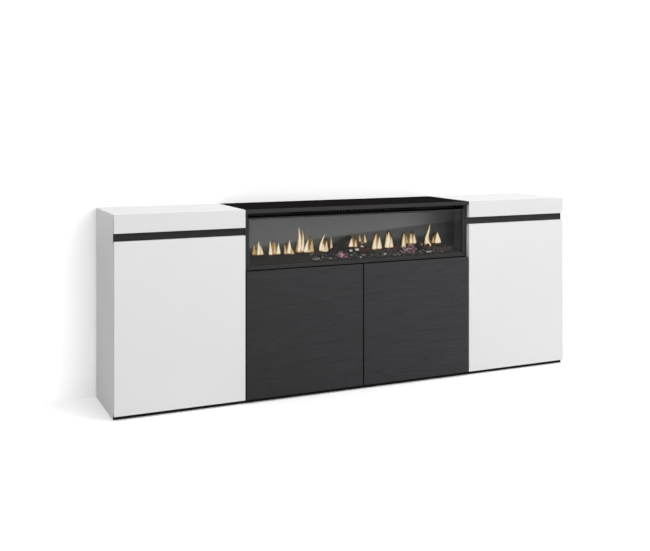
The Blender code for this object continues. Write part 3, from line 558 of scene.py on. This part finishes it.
def bark(turn, along, length, radius, seed):
    """How far the bark stands out: ridges along the log whose places wander, cut by cracks across it. Both are one
    less the size of a sine, which makes sharp furrows."""
    random = np.random.default_rng(seed)
    phase = random.uniform(0, math.tau, 8)
    wander = 0.5 * np.sin(9 * along + phase[0] + 2 * turn) + 0.3 * np.sin(23 * along + phase[1] - turn)
    ridges = 1 - np.abs(np.sin(4.5 * turn + wander))
    fine = 1 - np.abs(np.sin(9 * turn + 2 * wander + phase[3]))
    crossing = length / radius * 0.8
    cracks = 1 - np.abs(np.sin(crossing * along * math.pi + 1.2 * np.sin(2 * turn + phase[4]) + phase[5]))
    lumps = np.sin(2 * turn + 5 * along + phase[6]) + 0.6 * np.sin(3 * turn - 8 * along + phase[7])
    return 0.07 * lumps - 0.11 * ridges**4 - 0.05 * fine**3 - 0.09 * cracks**8


def log(name, start, start_radius, end, end_radius, bend, seed, made):
    """A tube round a bent line between two points. Its radius runs evenly from one end's to the other's, times one
    plus the bark. The first and last rings close in to a cut end with a slight ring relief."""
    start = np.array(start)
    end = np.array(end)
    axis = (end - start) / np.linalg.norm(end - start)
    length = np.linalg.norm(end - start)
    first = np.cross(axis, (0.0, 0.0, 1.0))
    first /= np.linalg.norm(first)
    second = np.cross(axis, first)
    turn = np.linspace(0, math.tau, 54, endpoint=False)[None, :]
    cut = np.array([0.10, 0.35, 0.62, 0.85, 0.96])
    along = np.concatenate([np.zeros(5), np.linspace(0, 1, 72), np.ones(5)])[:, None]
    shrink = np.concatenate([cut, np.ones(72), cut[::-1]])[:, None]
    radius = start_radius + (end_radius - start_radius) * along
    middle = start + axis * (along * length) + second * (np.sin(math.pi * along) * bend)
    reach = radius * shrink * (1 + bark(turn, along, length, radius.mean(), seed) * shrink)
    rounding = np.concatenate([cut**2, np.ones(72), cut[::-1] ** 2])[:, None]
    ends = np.concatenate([np.full(41, -1.0), np.full(41, 1.0)])[:, None]
    bulge = ends * (1 - rounding) * radius * 0.08
    rings = middle[:, None] + (first * np.cos(turn)[..., None] + second * np.sin(turn)[..., None]) * reach[..., None]
    rings = rings + axis * bulge[..., None]
    return tubes(name, rings[None], made, "cabinet")


def charred_wood(name, char, wood, glow):
    """Charcoal over brown wood. A stretched noise lets the wood show, and a fine one lifts flakes of ash."""
    made, surface = finish(name, char, 0.82, specular=0.25)
    patches = noise(made, object_place(made, (30, 60, 60)), 1.0, 5.0, 0.6, 0.5)
    flakes = noise(made, object_place(made), 500.0, 4.0, 0.65)
    mixed = reckon(made, "MULTIPLY", flakes, 0.35)
    mixed = reckon(made, "MULTIPLY_ADD", patches, 0.65, mixed)
    follow(made, ramp(made, mixed, (0.34, char), (0.52, wood), (0.74, glow)), surface, "Base Color")
    relief(made, surface, flakes, 0.0006)
    return made


charcoal = charred_wood("charcoal", (0.004, 0.004, 0.0035), (0.010, 0.008, 0.007), (0.028, 0.023, 0.019))
ember_wood = charred_wood("ember_wood", (0.026, 0.010, 0.008), (0.064, 0.022, 0.016), (0.115, 0.052, 0.042))
brown_wood = charred_wood("scorched_wood", (0.026, 0.018, 0.013), (0.060, 0.042, 0.033), (0.110, 0.075, 0.066))
log("long_log", (-0.1349, -0.1070, 0.5623), 0.0145, (-0.0271, -0.1020, 0.6352), 0.0095, -0.003, 3, charcoal)
log("low_log", (-0.1073, -0.1157, 0.5668), 0.0110, (-0.0302, -0.1082, 0.5848), 0.0100, 0.002, 4, charcoal)
log("twig", (0.0720, -0.0970, 0.5840), 0.0050, (0.0110, -0.0960, 0.6110), 0.0038, 0.002, 8, brown_wood)
log("glowing_log", (0.0102, -0.1033, 0.5731), 0.0110, (0.0751, -0.1020, 0.5790), 0.0090, 0.001, 9, ember_wood)
log("middle_log", (0.1760, -0.1082, 0.5610), 0.0120, (0.2130, -0.0983, 0.5850), 0.0100, 0.002, 5, ember_wood)
log("leaning_log", (0.3240, -0.1225, 0.5398), 0.0100, (0.3031, -0.1008, 0.5970), 0.0070, 0.003, 6, charcoal)
log("ember_log", (0.3430, -0.1000, 0.5640), 0.0105, (0.3640, -0.0990, 0.5830), 0.0085, 0.001, 10, ember_wood)
log("right_log", (0.3740, -0.1058, 0.5650), 0.0105, (0.4680, -0.1137, 0.5590), 0.0125, 0.000, 7, brown_wood)
log("short_log", (0.0815, -0.1120, 0.5660), 0.0075, (0.1370, -0.1100, 0.5680), 0.0070, 0.001, 12, brown_wood)
log("thin_branch", (0.3900, -0.0980, 0.5775), 0.0042, (0.4560, -0.1010, 0.5780), 0.0032, 0.001, 11, ember_wood)


# Stones and embers: pink and red glass nuggets in two heaps that look like glowing coals, with a faint painted
# glow, pale and grey pebbles, two pale ones with a painted glow as if the flames lit them, and dark cinders strewn
# over the middle and the right of the bed.

def stones(name, centres, sizes, facets, seed, made):
    """Broken stones. A stone's radius in a direction is the least of the distances to random planes round it, each
    divided by the cosine between the direction and the plane's normal, so that flat facets meet in edges. Each
    stone is then stretched by a random share along each axis, least of all upwards."""
    random = np.random.default_rng(seed)
    polar = np.linspace(math.pi - 0.10, 0.10, 13)[:, None]
    turn = np.linspace(0, math.tau, 20, endpoint=False)[None, :]
    directions = np.stack(
        [np.sin(polar) * np.cos(turn), np.sin(polar) * np.sin(turn), np.cos(polar) + 0 * turn], axis=-1
    )
    normals = random.normal(size=(len(centres), facets, 3))
    normals /= np.linalg.norm(normals, axis=-1, keepdims=True)
    distance = random.uniform(0.70, 1.0, (len(centres), 1, 1, facets))
    cosine = np.einsum("rad,kfd->kraf", directions, normals)
    reach = np.where(cosine > 0.05, distance / np.maximum(cosine, 0.05), 3.0).min(axis=-1)
    reach = np.minimum(reach, 1.2)[..., None]
    stretch = random.uniform(0.75, 1.25, (len(centres), 1, 1, 3)) * np.array([1.1, 0.9, 0.8])
    size = np.array(sizes)[:, None, None, None]
    rings = np.array(centres)[:, None, None] + directions[None] * reach * stretch * size
    piece = tubes(name, rings, made, "cabinet")
    tones = np.repeat(random.random(len(centres)), polar.size * turn.size)
    piece.data.attributes.new("tone", "FLOAT", "POINT").data.foreach_set("value", tones)
    piece.data.polygons.foreach_set("use_smooth", np.zeros(len(piece.data.polygons), bool))
    return piece


def stone_finish(name, stops, roughness, glow=None):
    """Each stone has its own tone of the ramp, with a fine speckle over it. A glow is painted light that it gives off,
    though it is no lamp.
    """
    made, surface = finish(name, stops[0], roughness)
    tone = add(made, "Attribute", attribute_name="tone").outputs["Fac"]
    speckle = noise(made, object_place(made), 700.0, 3.0)
    mixed = reckon(made, "MULTIPLY_ADD", speckle, 0.5, -0.25)
    mixed = reckon(made, "ADD", mixed, tone)
    places = np.linspace(0.1, 0.9, len(stops))
    follow(made, ramp(made, mixed, *zip(places, stops)), surface, "Base Color")
    relief(made, surface, speckle, 0.0002)
    if glow:
        surface.inputs["Emission Color"].default_value = (*glow, 1)
        surface.inputs["Emission Strength"].default_value = 1.0
    return made


def on_bed(x, share, sink):
    """Points on the bed at some share of its depth from the front, sunk by a little."""
    x = np.asarray(x, float)
    y = bed_low.y + (bed_high.y - bed_low.y) * np.asarray(share, float) + 0 * x
    return np.stack([x, y, bed_level(y) - sink], axis=-1)


def heap(x, spread_x, share, spread_share, count, lift, seed):
    """Points strewn normally about one place, the later ones higher, as a heap of stones lies."""
    random = np.random.default_rng(seed)
    points = on_bed(x + random.normal(0, spread_x, count), share + random.normal(0, spread_share, count), 0.0)
    points[:, 2] += lift * np.linspace(0, 1, count)
    return points


# Painted glow: the nuggets give off a faint red light.
nugget = stone_finish("pink_glass", ((0.100, 0.026, 0.033), (0.25, 0.115, 0.158), (0.60, 0.455, 0.560)), 0.24,
                      (0.014, 0.003, 0.003))
pebble = stone_finish("pale_pebble", ((0.30, 0.275, 0.260), (0.50, 0.46, 0.44), (0.70, 0.66, 0.64)), 0.6)
lit_pebble = stone_finish("lit_pebble", ((0.60, 0.50, 0.47), (0.75, 0.66, 0.63)), 0.5, (0.16, 0.115, 0.100))
grey_pebble = stone_finish("grey_pebble", ((0.060, 0.054, 0.050), (0.130, 0.118, 0.112), (0.26, 0.235, 0.23)), 0.7)
cinder = stone_finish("cinder", ((0.016, 0.013, 0.012), (0.048, 0.038, 0.033), (0.16, 0.135, 0.125)), 0.8)
random = np.random.default_rng(21)
left_heap = heap(-0.0795, 0.0115, 0.36, 0.16, 46, 0.015, 1)
right_heap = heap(0.2545, 0.0140, 0.42, 0.13, 56, 0.018, 2)
nuggets = np.concatenate([left_heap, right_heap])
stones("glass_nuggets", nuggets, random.uniform(0.0052, 0.0088, len(nuggets)), 12, 5, nugget)

# Each row is a stone: its place along the bed, its share of the bed's depth, its lift and its size in millimetres.
pale_rows = (
    (-0.1999, 0.23, 0.000, 6.4), (-0.2110, 0.23, 0.000, 5.0), (-0.1859, 0.31, 0.000, 4.4), (-0.1648, 0.40, 0.000, 3.6),
    (0.0240, 0.27, 0.000, 4.8), (0.0044, 0.10, 0.000, 4.6), (0.1284, 0.28, 0.000, 6.6), (0.1183, 0.27, 0.000, 4.4),
    (0.2047, 0.72, 0.002, 6.0), (0.3386, 0.24, 0.000, 5.2), (0.3549, 0.29, 0.000, 4.4), (-0.0542, 0.70, 0.000, 5.6),
)
lit_rows = ((-0.0339, 0.36, 0.022, 4.6), (-0.0002, 0.50, 0.020, 5.6))
grey_rows = (
    (-0.1238, 0.72, 0.005, 6.8), (-0.1422, 0.65, 0.000, 5.2), (-0.1361, 0.17, 0.000, 4.7), (-0.1090, 0.57, 0.000, 5.2),
    (-0.1124, 0.16, 0.000, 4.0), (-0.1501, 0.27, 0.000, 4.2), (-0.1569, 0.72, 0.003, 4.2), (-0.0111, 0.63, 0.000, 5.3),
    (-0.0303, 0.39, 0.000, 5.2), (-0.0431, 0.53, 0.000, 4.3), (-0.0100, 0.31, 0.000, 4.8), (0.0428, 0.10, 0.000, 4.8),
    (0.0663, 0.25, 0.000, 5.4), (0.0904, 0.34, 0.000, 4.9), (0.1232, 0.54, 0.000, 6.6), (0.0900, 0.10, 0.000, 4.4),
    (0.1542, 0.29, 0.000, 5.9), (0.1716, 0.16, 0.000, 5.6), (0.1930, 0.35, 0.000, 5.0), (0.1758, 0.60, 0.000, 5.5),
    (0.1943, 0.12, 0.000, 4.5), (0.1543, 0.61, 0.000, 4.9), (0.2168, 0.49, 0.000, 5.5), (0.3012, 0.25, 0.000, 5.6),
    (0.3235, 0.47, 0.000, 5.6), (0.3263, 0.72, 0.019, 4.6), (0.3724, 0.27, 0.000, 5.2), (0.3966, 0.28, 0.000, 4.7),
    (0.4249, 0.28, 0.000, 4.2), (-0.0574, 0.21, 0.000, 3.8), (-0.0726, 0.72, 0.010, 4.7), (-0.0905, 0.72, 0.007, 4.7),
)
facet_loss = 1.25  # a stone starts larger, since its facets cut it back
for name, rows, made, seed in (("pale_pebbles", pale_rows, pebble, 6), ("lit_pebbles", lit_rows, lit_pebble, 8),
                               ("grey_pebbles", grey_rows, grey_pebble, 9)):
    along, share, lift, size = np.array(rows).T
    stones(name, on_bed(along, share, -lift), size * facet_loss / 1000, 18, seed, made)
cinder_count = 230
cinder_x = random.uniform(-0.215, 0.455, cinder_count)
cinders = on_bed(cinder_x, random.uniform(0.06, 0.92, cinder_count), -0.0008)
stones("cinders", cinders, random.uniform(0.0022, 0.0058, cinder_count), 14, 7, cinder)


# Flames: the picture that the lamps and the spindle throw on the screen. Each tongue is a film of light just in
# front of the screen. Narrow pale tongues stand before wide amber ones, with a dark brown edge behind them all.

def tongues(name, rows, made, lift, taper):
    """Each tongue is rings of a flat oval, carried up a line that leans from the middle of its foot to its tip. A
    whole sine wave of its height sways the line, and half a wave bows it. The width falls off as the taper's power
    of the height left, and draws in at the foot. The last number of a row is how pale the tongue is, in
    hundredths."""
    left, right, foot, tip_x, tip_z, sway, bow, pale = np.array(rows).T[:, :, None, None] / 1000
    up = np.linspace(0, 1, 30)[None, :, None]
    turn = np.linspace(0, math.tau, 20, endpoint=False)[None, None, :]
    middle = (left + right) / 2
    line = middle + (tip_x - middle) * up**1.6 + sway * np.sin(math.tau * up) * (1 - 0.3 * up)
    line = line + bow * np.sin(math.pi * up)
    width = (right - left) / 2 * np.clip(1 - up, 0, 1) ** taper * np.clip(0.72 + 4 * up, 0, 1) + 0.00015
    row_number = np.arange(len(rows))[:, None, None]
    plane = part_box("flame_screen")[0].y - 0.0007 - lift - 0.0009 * (row_number % 3)  # so that no two films meet
    x = line + width * np.cos(turn)
    y = plane + 0.00035 * np.sin(turn) + 0 * x
    z = foot + (tip_z - foot) * up + 0 * x
    rings = np.stack([x, y, z], axis=-1)
    piece = tubes(name, rings, made, "cabinet")
    for label, values in (("across", np.cos(turn)), ("up", up), ("pale", pale * 10)):
        piece.data.attributes.new(label, "FLOAT", "POINT").data.foreach_set("value", (values + 0 * x).ravel())
    return piece


def wider(rows, aside, below, above, pale):
    """The same tongues, wider to each side, from a lower foot to a higher tip, in one paleness."""
    return [(r[0] - aside, r[1] + aside, r[2] - below, r[3], r[4] + above, r[5], r[6], pale) for r in rows]


def flame_light(name, cover, *stops):
    """Light only. Its place on the colour ramp is how pale the tongue is, less some of the squared distance from
    the middle line and of the squared height, broken by an upright noise. The foot is less pale, and the film
    thins out at its edges."""
    made, surface = finish(name, (0, 0, 0), 0.6, specular=0.0)
    across = add(made, "Attribute", attribute_name="across").outputs["Fac"]
    up = add(made, "Attribute", attribute_name="up").outputs["Fac"]
    pale = add(made, "Attribute", attribute_name="pale").outputs["Fac"]
    licks = noise(made, object_place(made, (190, 190, 50)), 1.0, 3.0, 0.55, 0.4)
    aside = reckon(made, "MULTIPLY", across, across)
    high = reckon(made, "MULTIPLY", up, up)
    mixed = reckon(made, "MULTIPLY_ADD", aside, -0.26, pale)
    mixed = reckon(made, "MULTIPLY_ADD", high, -0.20, mixed)
    mixed = reckon(made, "ADD", mixed, spread(made, up, -0.26, 0.0, 0.0, 0.10))
    broken = reckon(made, "MULTIPLY_ADD", licks, 0.36, -0.18)
    mixed = reckon(made, "ADD", mixed, broken)
    follow(made, ramp(made, mixed, *stops), surface, "Emission Color")
    surface.inputs["Emission Strength"].default_value = 1.0
    thin = reckon(made, "MULTIPLY_ADD", aside, -1.7, 2.3)
    thin = reckon(made, "MULTIPLY_ADD", high, -1.2, thin)
    thin = add(made, "Clamp", {"Value": thin}).outputs["Result"]
    follow(made, reckon(made, "MULTIPLY", thin, cover), surface, "Alpha")
    return made


flame_stops = ((0.05, (0.045, 0.028, 0.012)), (0.26, (0.150, 0.085, 0.030)), (0.46, (0.38, 0.240, 0.090)),
               (0.66, (0.62, 0.42, 0.20)), (0.88, (0.97, 0.85, 0.67)))
bright = flame_light("flame_bright", 1.0, *flame_stops)
amber = flame_light("flame_amber", 0.85, *flame_stops)
haze = flame_light("flame_haze", 0.38, (0.05, (0.13, 0.09, 0.07)), (0.5, (0.24, 0.17, 0.13)))
shade = flame_light("flame_shade", 0.66, (0.05, (0.026, 0.014, 0.005)), (0.5, (0.070, 0.040, 0.016)))

# Each row is a tongue: its left and right edge, its foot, the place and height of its tip, its sway and its bow in
# millimetres, and its paleness in hundredths.
bright_rows = (
    (-469, -449, 581, -460, 627, 0, 0, 60), (-448, -430, 580, -440, 638, 0, 0, 98),
    (-437, -418, 580, -433, 621, 0, 0, 84), (-396, -378, 577, -389, 636, 0, 0, 94),
    (-377, -362, 579, -370, 625, 0, 0, 72), (-363, -343, 579, -353, 625, 0, 0, 98),
    (-328, -313, 577, -326, 621, 0, 0, 72), (-315, -291, 578, -303, 635, 0, 0, 98),
    (-301, -280, 575, -295, 602, 0, 0, 70), (-270, -249, 581, -261, 688, 0, 4.1, 92),
    (-253, -239, 583, -245, 675, 0, 4.6, 90), (-241, -217, 580, -217, 635, 0, 0, 94),
    (-214, -190, 578, -200, 634, 0, 0, 72), (-236, -204, 579, -222, 599, 0, 0, 82),
    (-168, -150, 581, -139, 654, 0, -3.7, 96), (-155, -137, 578, -149, 616, 0, 0, 90),
    (-144, -124, 576, -132, 625, 0, 0, 86), (-117, -104, 582, -113, 644, 0, 0, 82),
    (-29, -5, 591, -13, 629, 0, 0, 95), (-4, 14, 589, 7, 623, 0, 0, 78), (19, 33, 612, 22, 642, 0, 0, 72),
    (29, 52, 587, 32, 610, 0, 0, 80), (44, 60, 606, 47, 643, 0, 0, 80), (83, 107, 574, 105, 643, 0, 0, 92),
    (107, 135, 575, 122, 629, 0, 0, 92), (146, 182, 578, 168, 647, 0, 0, 98), (168, 191, 578, 180, 625, 0, 0, 88),
    (148, 165, 580, 156, 643, 0, 0, 76), (230, 253, 573, 243, 640, 0, 0, 88), (248, 266, 592, 255, 627, 0, 0, 60),
    (269, 290, 590, 279, 636, 0, 0, 88), (286, 308, 589, 294, 635, 0, 0, 88),
    (362, 388, 572, 376, 673, -5.7, -13, 92), (347, 366, 585, 359, 626, 0, 0, 84),
    (385, 401, 587, 394, 618, 0, 0, 66), (400, 435, 585, 414, 635, 0, 0, 98),
)
amber_rows = (
    (-469, -417, 578, -444, 630, 0, 0, 38), (-395, -342, 576, -372, 635, 0, 0, 48),
    (-329, -282, 574, -310, 627, 0, 0, 36), (-276, -234, 580, -252, 657, 0, 0, 58),
    (-241, -189, 577, -208, 642, 0, 0, 38), (-169, -119, 576, -141, 637, 0, 0, 34),
    (-29, 15, 590, -8, 640, 0, 0, 40), (82, 135, 573, 107, 642, 0, 0, 50), (145, 193, 577, 167, 648, 0, 0, 50),
    (231, 269, 588, 248, 639, 0, 0, 46), (259, 309, 588, 284, 638, 0, 0, 48), (346, 387, 571, 364, 632, 0, 0, 48),
    (385, 436, 584, 408, 629, 0, 0, 42),
)
haze_rows = (
    (-274, -233, 607, -260, 693, 0, 0, 30), (-241, -195, 597, -221, 677, 0, 0, 24),
    (-218, -188, 600, -197, 645, 0, 0, 30), (-40, 18, 611, -8, 653, 0, 0, 20), (81, 137, 605, 107, 652, 0, 0, 22),
    (229, 311, 606, 268, 645, 0, 0, 20), (16, 64, 600, 40, 645, 0, 0, 20),
)
tongues("bright_flames", bright_rows, bright, 0.0060, 0.75)
tongues("amber_flames", amber_rows, amber, 0.0030, 0.50)
tongues("flame_haze", haze_rows, haze, 0.0, 0.55)
tongues("flame_shade", wider(amber_rows, 5, 5, 5, 12), shade, 0.0, 0.40)


# Front glass: 4 mm clear toughened glass behind the frame. The face by which light comes in mirrors the share of
# both faces, and the rest goes through with a slight grey.

def blank(name):
    """A material without nodes."""
    made = bpy.data.materials.new(name)
    made.use_nodes = True
    made.node_tree.nodes.clear()
    return made


pane = blank("clear_glass")
both_faces = 1.9  # times one face's share, since the leaving face mirrors nothing
leaving = add(pane, "NewGeometry").outputs["Backfacing"]
entering = reckon(pane, "MULTIPLY_ADD", leaving, -both_faces, both_faces)
share = reckon(pane, "MULTIPLY", add(pane, "Fresnel", {"IOR": 1.45}).outputs["Fac"], entering)
share = add(pane, "Clamp", {"Value": share}).outputs["Result"]
through = add(pane, "BsdfTransparent", {"Color": (0.94, 0.95, 0.945, 1)}).outputs["BSDF"]
shine = add(pane, "BsdfGlossy", {"Color": (1, 1, 1, 1), "Roughness": 0.022}).outputs["BSDF"]
mix = add(pane, "MixShader", {0: share, 1: through, 2: shine}).outputs["Shader"]
add(pane, "OutputMaterial", {"Surface": mix})
dress(pane, "front_glass")


# Floor and wall: a white studio floor, dimmer where something mirrors it, and a white wall right behind the
# cabinet. Only the camera's rays find the wall, so it takes the object's shadow and throws no light back. Both
# are painted darker along the cabinet and past its ends, a painted shadow that fades away from it, and the wall is
# painted darker towards the top.

def stage_sheet(name, corners, made):
    """One flat face of the studio."""
    mesh = bpy.data.meshes.new(name)
    mesh.from_pydata(corners, [], [range(len(corners))])
    mesh.materials.append(made)
    sheet = bpy.data.objects.new(name, mesh)
    bpy.context.scene.collection.objects.link(sheet)
    return sheet


def white_with_painted_shadow(made, near, far, middle):
    """How white a sheet is to the camera, with a painted shadow: one level along the sideboard, and another past its
    ends that rises with the distance from them, as the painted shadow fades. A level over 1 keeps the sheet white in
    the little light that it gets."""
    aside = reckon(made, "ABSOLUTE", along_axis(made, "X"))
    beside = spread(made, aside, near, far, cabinet_end, cabinet_end + 0.25)
    return reckon(made, "MAXIMUM", beside, spread(made, aside, middle, 0.0, cabinet_end - 0.15, cabinet_end))


cabinet_end = cad_box[1][0]
studio_floor = blank("studio_floor")
path = add(studio_floor, "LightPath").outputs
seen = reckon(studio_floor, "MAXIMUM", path["Is Camera Ray"], path["Is Transmission Ray"])
plain = add(studio_floor, "BsdfDiffuse", {"Color": (0.68, 0.68, 0.68, 1)}).outputs["BSDF"]
white = add(studio_floor, "BsdfDiffuse", {"Color": white_with_painted_shadow(studio_floor, 1.33, 1.62, 1.38)}).outputs["BSDF"]
dim = add(studio_floor, "BsdfDiffuse", {"Color": (0.30, 0.30, 0.30, 1)}).outputs["BSDF"]
plain = add(studio_floor, "MixShader", {0: path["Is Glossy Ray"], 1: plain, 2: dim}).outputs["Shader"]
mix = add(studio_floor, "MixShader", {0: seen, 1: plain, 2: white}).outputs["Shader"]
add(studio_floor, "OutputMaterial", {"Surface": mix})
floor_place = -0.0004  # a hair under the strips, so that the two don't meet
floor_corners = ((-9, -4.63), (1, -4.63), (9, -8.20), (9, 9), (-9, 9))  # the glass mirrors the slanting edge
stage_sheet("studio_floor", [(x, y, floor_place) for x, y in floor_corners], studio_floor)

studio_wall = blank("studio_wall")
path = add(studio_wall, "LightPath").outputs
behind = add(studio_wall, "NewGeometry").outputs["Backfacing"]
in_front = reckon(studio_wall, "SUBTRACT", 1.0, behind)
seen = reckon(studio_wall, "MULTIPLY", path["Is Camera Ray"], in_front)
clear = add(studio_wall, "BsdfTransparent").outputs["BSDF"]
# Painted shade: the wall grows darker towards the top.
lower = spread(studio_wall, along_axis(studio_wall, "Z"), 1.05, 0.95, 0.05, 0.75)
level = reckon(studio_wall, "MULTIPLY", white_with_painted_shadow(studio_wall, 1.29, 1.66, 1.46), lower)
white = add(studio_wall, "BsdfDiffuse", {"Color": level}).outputs["BSDF"]
mix = add(studio_wall, "MixShader", {0: seen, 1: clear, 2: white}).outputs["Shader"]
add(studio_wall, "OutputMaterial", {"Surface": mix})
wall_place = cad_box[1][1] + 0.0008  # clear of the nail heads
wall_corners = ((-9, 0), (9, 0), (9, 6), (-9, 6))
stage_sheet("studio_wall", [(x, wall_place, z) for x, z in wall_corners], studio_wall)


# Light: a white sky, a large soft lamp high in front to the right, one overhead, one low in front and a weak one
# at the left. What is mirrored of the sky is a bright room that darkens towards the right.

def lamp(name, place, width, height, power, mirrored=True):
    """A rectangle of light that faces the middle of the sideboard, with its power in watts."""
    data = bpy.data.lights.new(name, "AREA")
    data.shape = "RECTANGLE"
    data.size = width
    data.size_y = height
    data.energy = power
    light = bpy.data.objects.new(name, data)
    light.location = place
    away = np.array((0, 0, 0.4)) - np.array(place)
    yaw = math.atan2(away[0], away[1])
    drop = math.atan2(-away[2], math.hypot(away[0], away[1]))
    light.rotation_euler = (math.pi / 2 - drop, 0, -yaw)
    bpy.context.scene.collection.objects.link(light)
    light.visible_glossy = mirrored
    return light


lamp("key_lamp", (2.6, -3.4, 3.4), 2.6, 2.6, 70)
lamp("top_lamp", (0.5, -1.2, 4.5), 4.0, 3.0, 60)
lamp("low_lamp", (0.6, -6.5, 1.0), 3.6, 2.0, 60, False)
lamp("left_lamp", (-5.0, -1.5, 2.0), 2.5, 2.5, 23, False)

sky = bpy.data.worlds.new("studio_sky")
bpy.context.scene.world = sky
sky.use_nodes = True
sky.node_tree.nodes.clear()
path = add(sky, "LightPath").outputs
lit = add(sky, "Background", {"Color": (1, 1, 1, 1), "Strength": 0.48}).outputs["Background"]
seen_white = add(sky, "Background", {"Color": (1, 1, 1, 1), "Strength": 1.0}).outputs["Background"]
heading = add(sky, "SeparateXYZ", {"Vector": add(sky, "TexCoord").outputs["Generated"]}).outputs
aside = reckon(sky, "DIVIDE", heading["X"], heading["Y"])
bright_room, dark_room = 1.12, 0.36
room_edge = (-0.563, -0.616)  # X over Y of a direction: the glass mirrors it before the right of the screen
room = spread(sky, aside, bright_room, dark_room, *room_edge)
mirrored = add(sky, "Background", {"Color": (1, 1, 1, 1), "Strength": room}).outputs["Background"]
seen = reckon(sky, "MAXIMUM", path["Is Camera Ray"], path["Is Transmission Ray"])
mix = add(sky, "MixShader", {0: path["Is Glossy Ray"], 1: lit, 2: mirrored}).outputs["Shader"]
mix = add(sky, "MixShader", {0: seen, 1: mix, 2: seen_white}).outputs["Shader"]
add(sky, "OutputWorld", {"Surface": mix})


# Camera: level, a metre and a bit over the floor, to the left of the front, with the lens shifted down. Its place
# and its lens were solved from the edges of the three cabinets.

camera_data = bpy.data.cameras.new("camera")
camera_data.sensor_width = 36
camera_data.lens = 51.4625
camera_data.shift_y = -0.2261
camera = bpy.data.objects.new("camera", camera_data)
camera.location = (-1.7809, -3.6767, 1.1000)
camera.rotation_euler = (math.pi / 2, 0, -0.4290)
bpy.context.scene.collection.objects.link(camera)
bpy.context.scene.camera = camera
bpy.context.scene.view_settings.view_transform = "Standard"
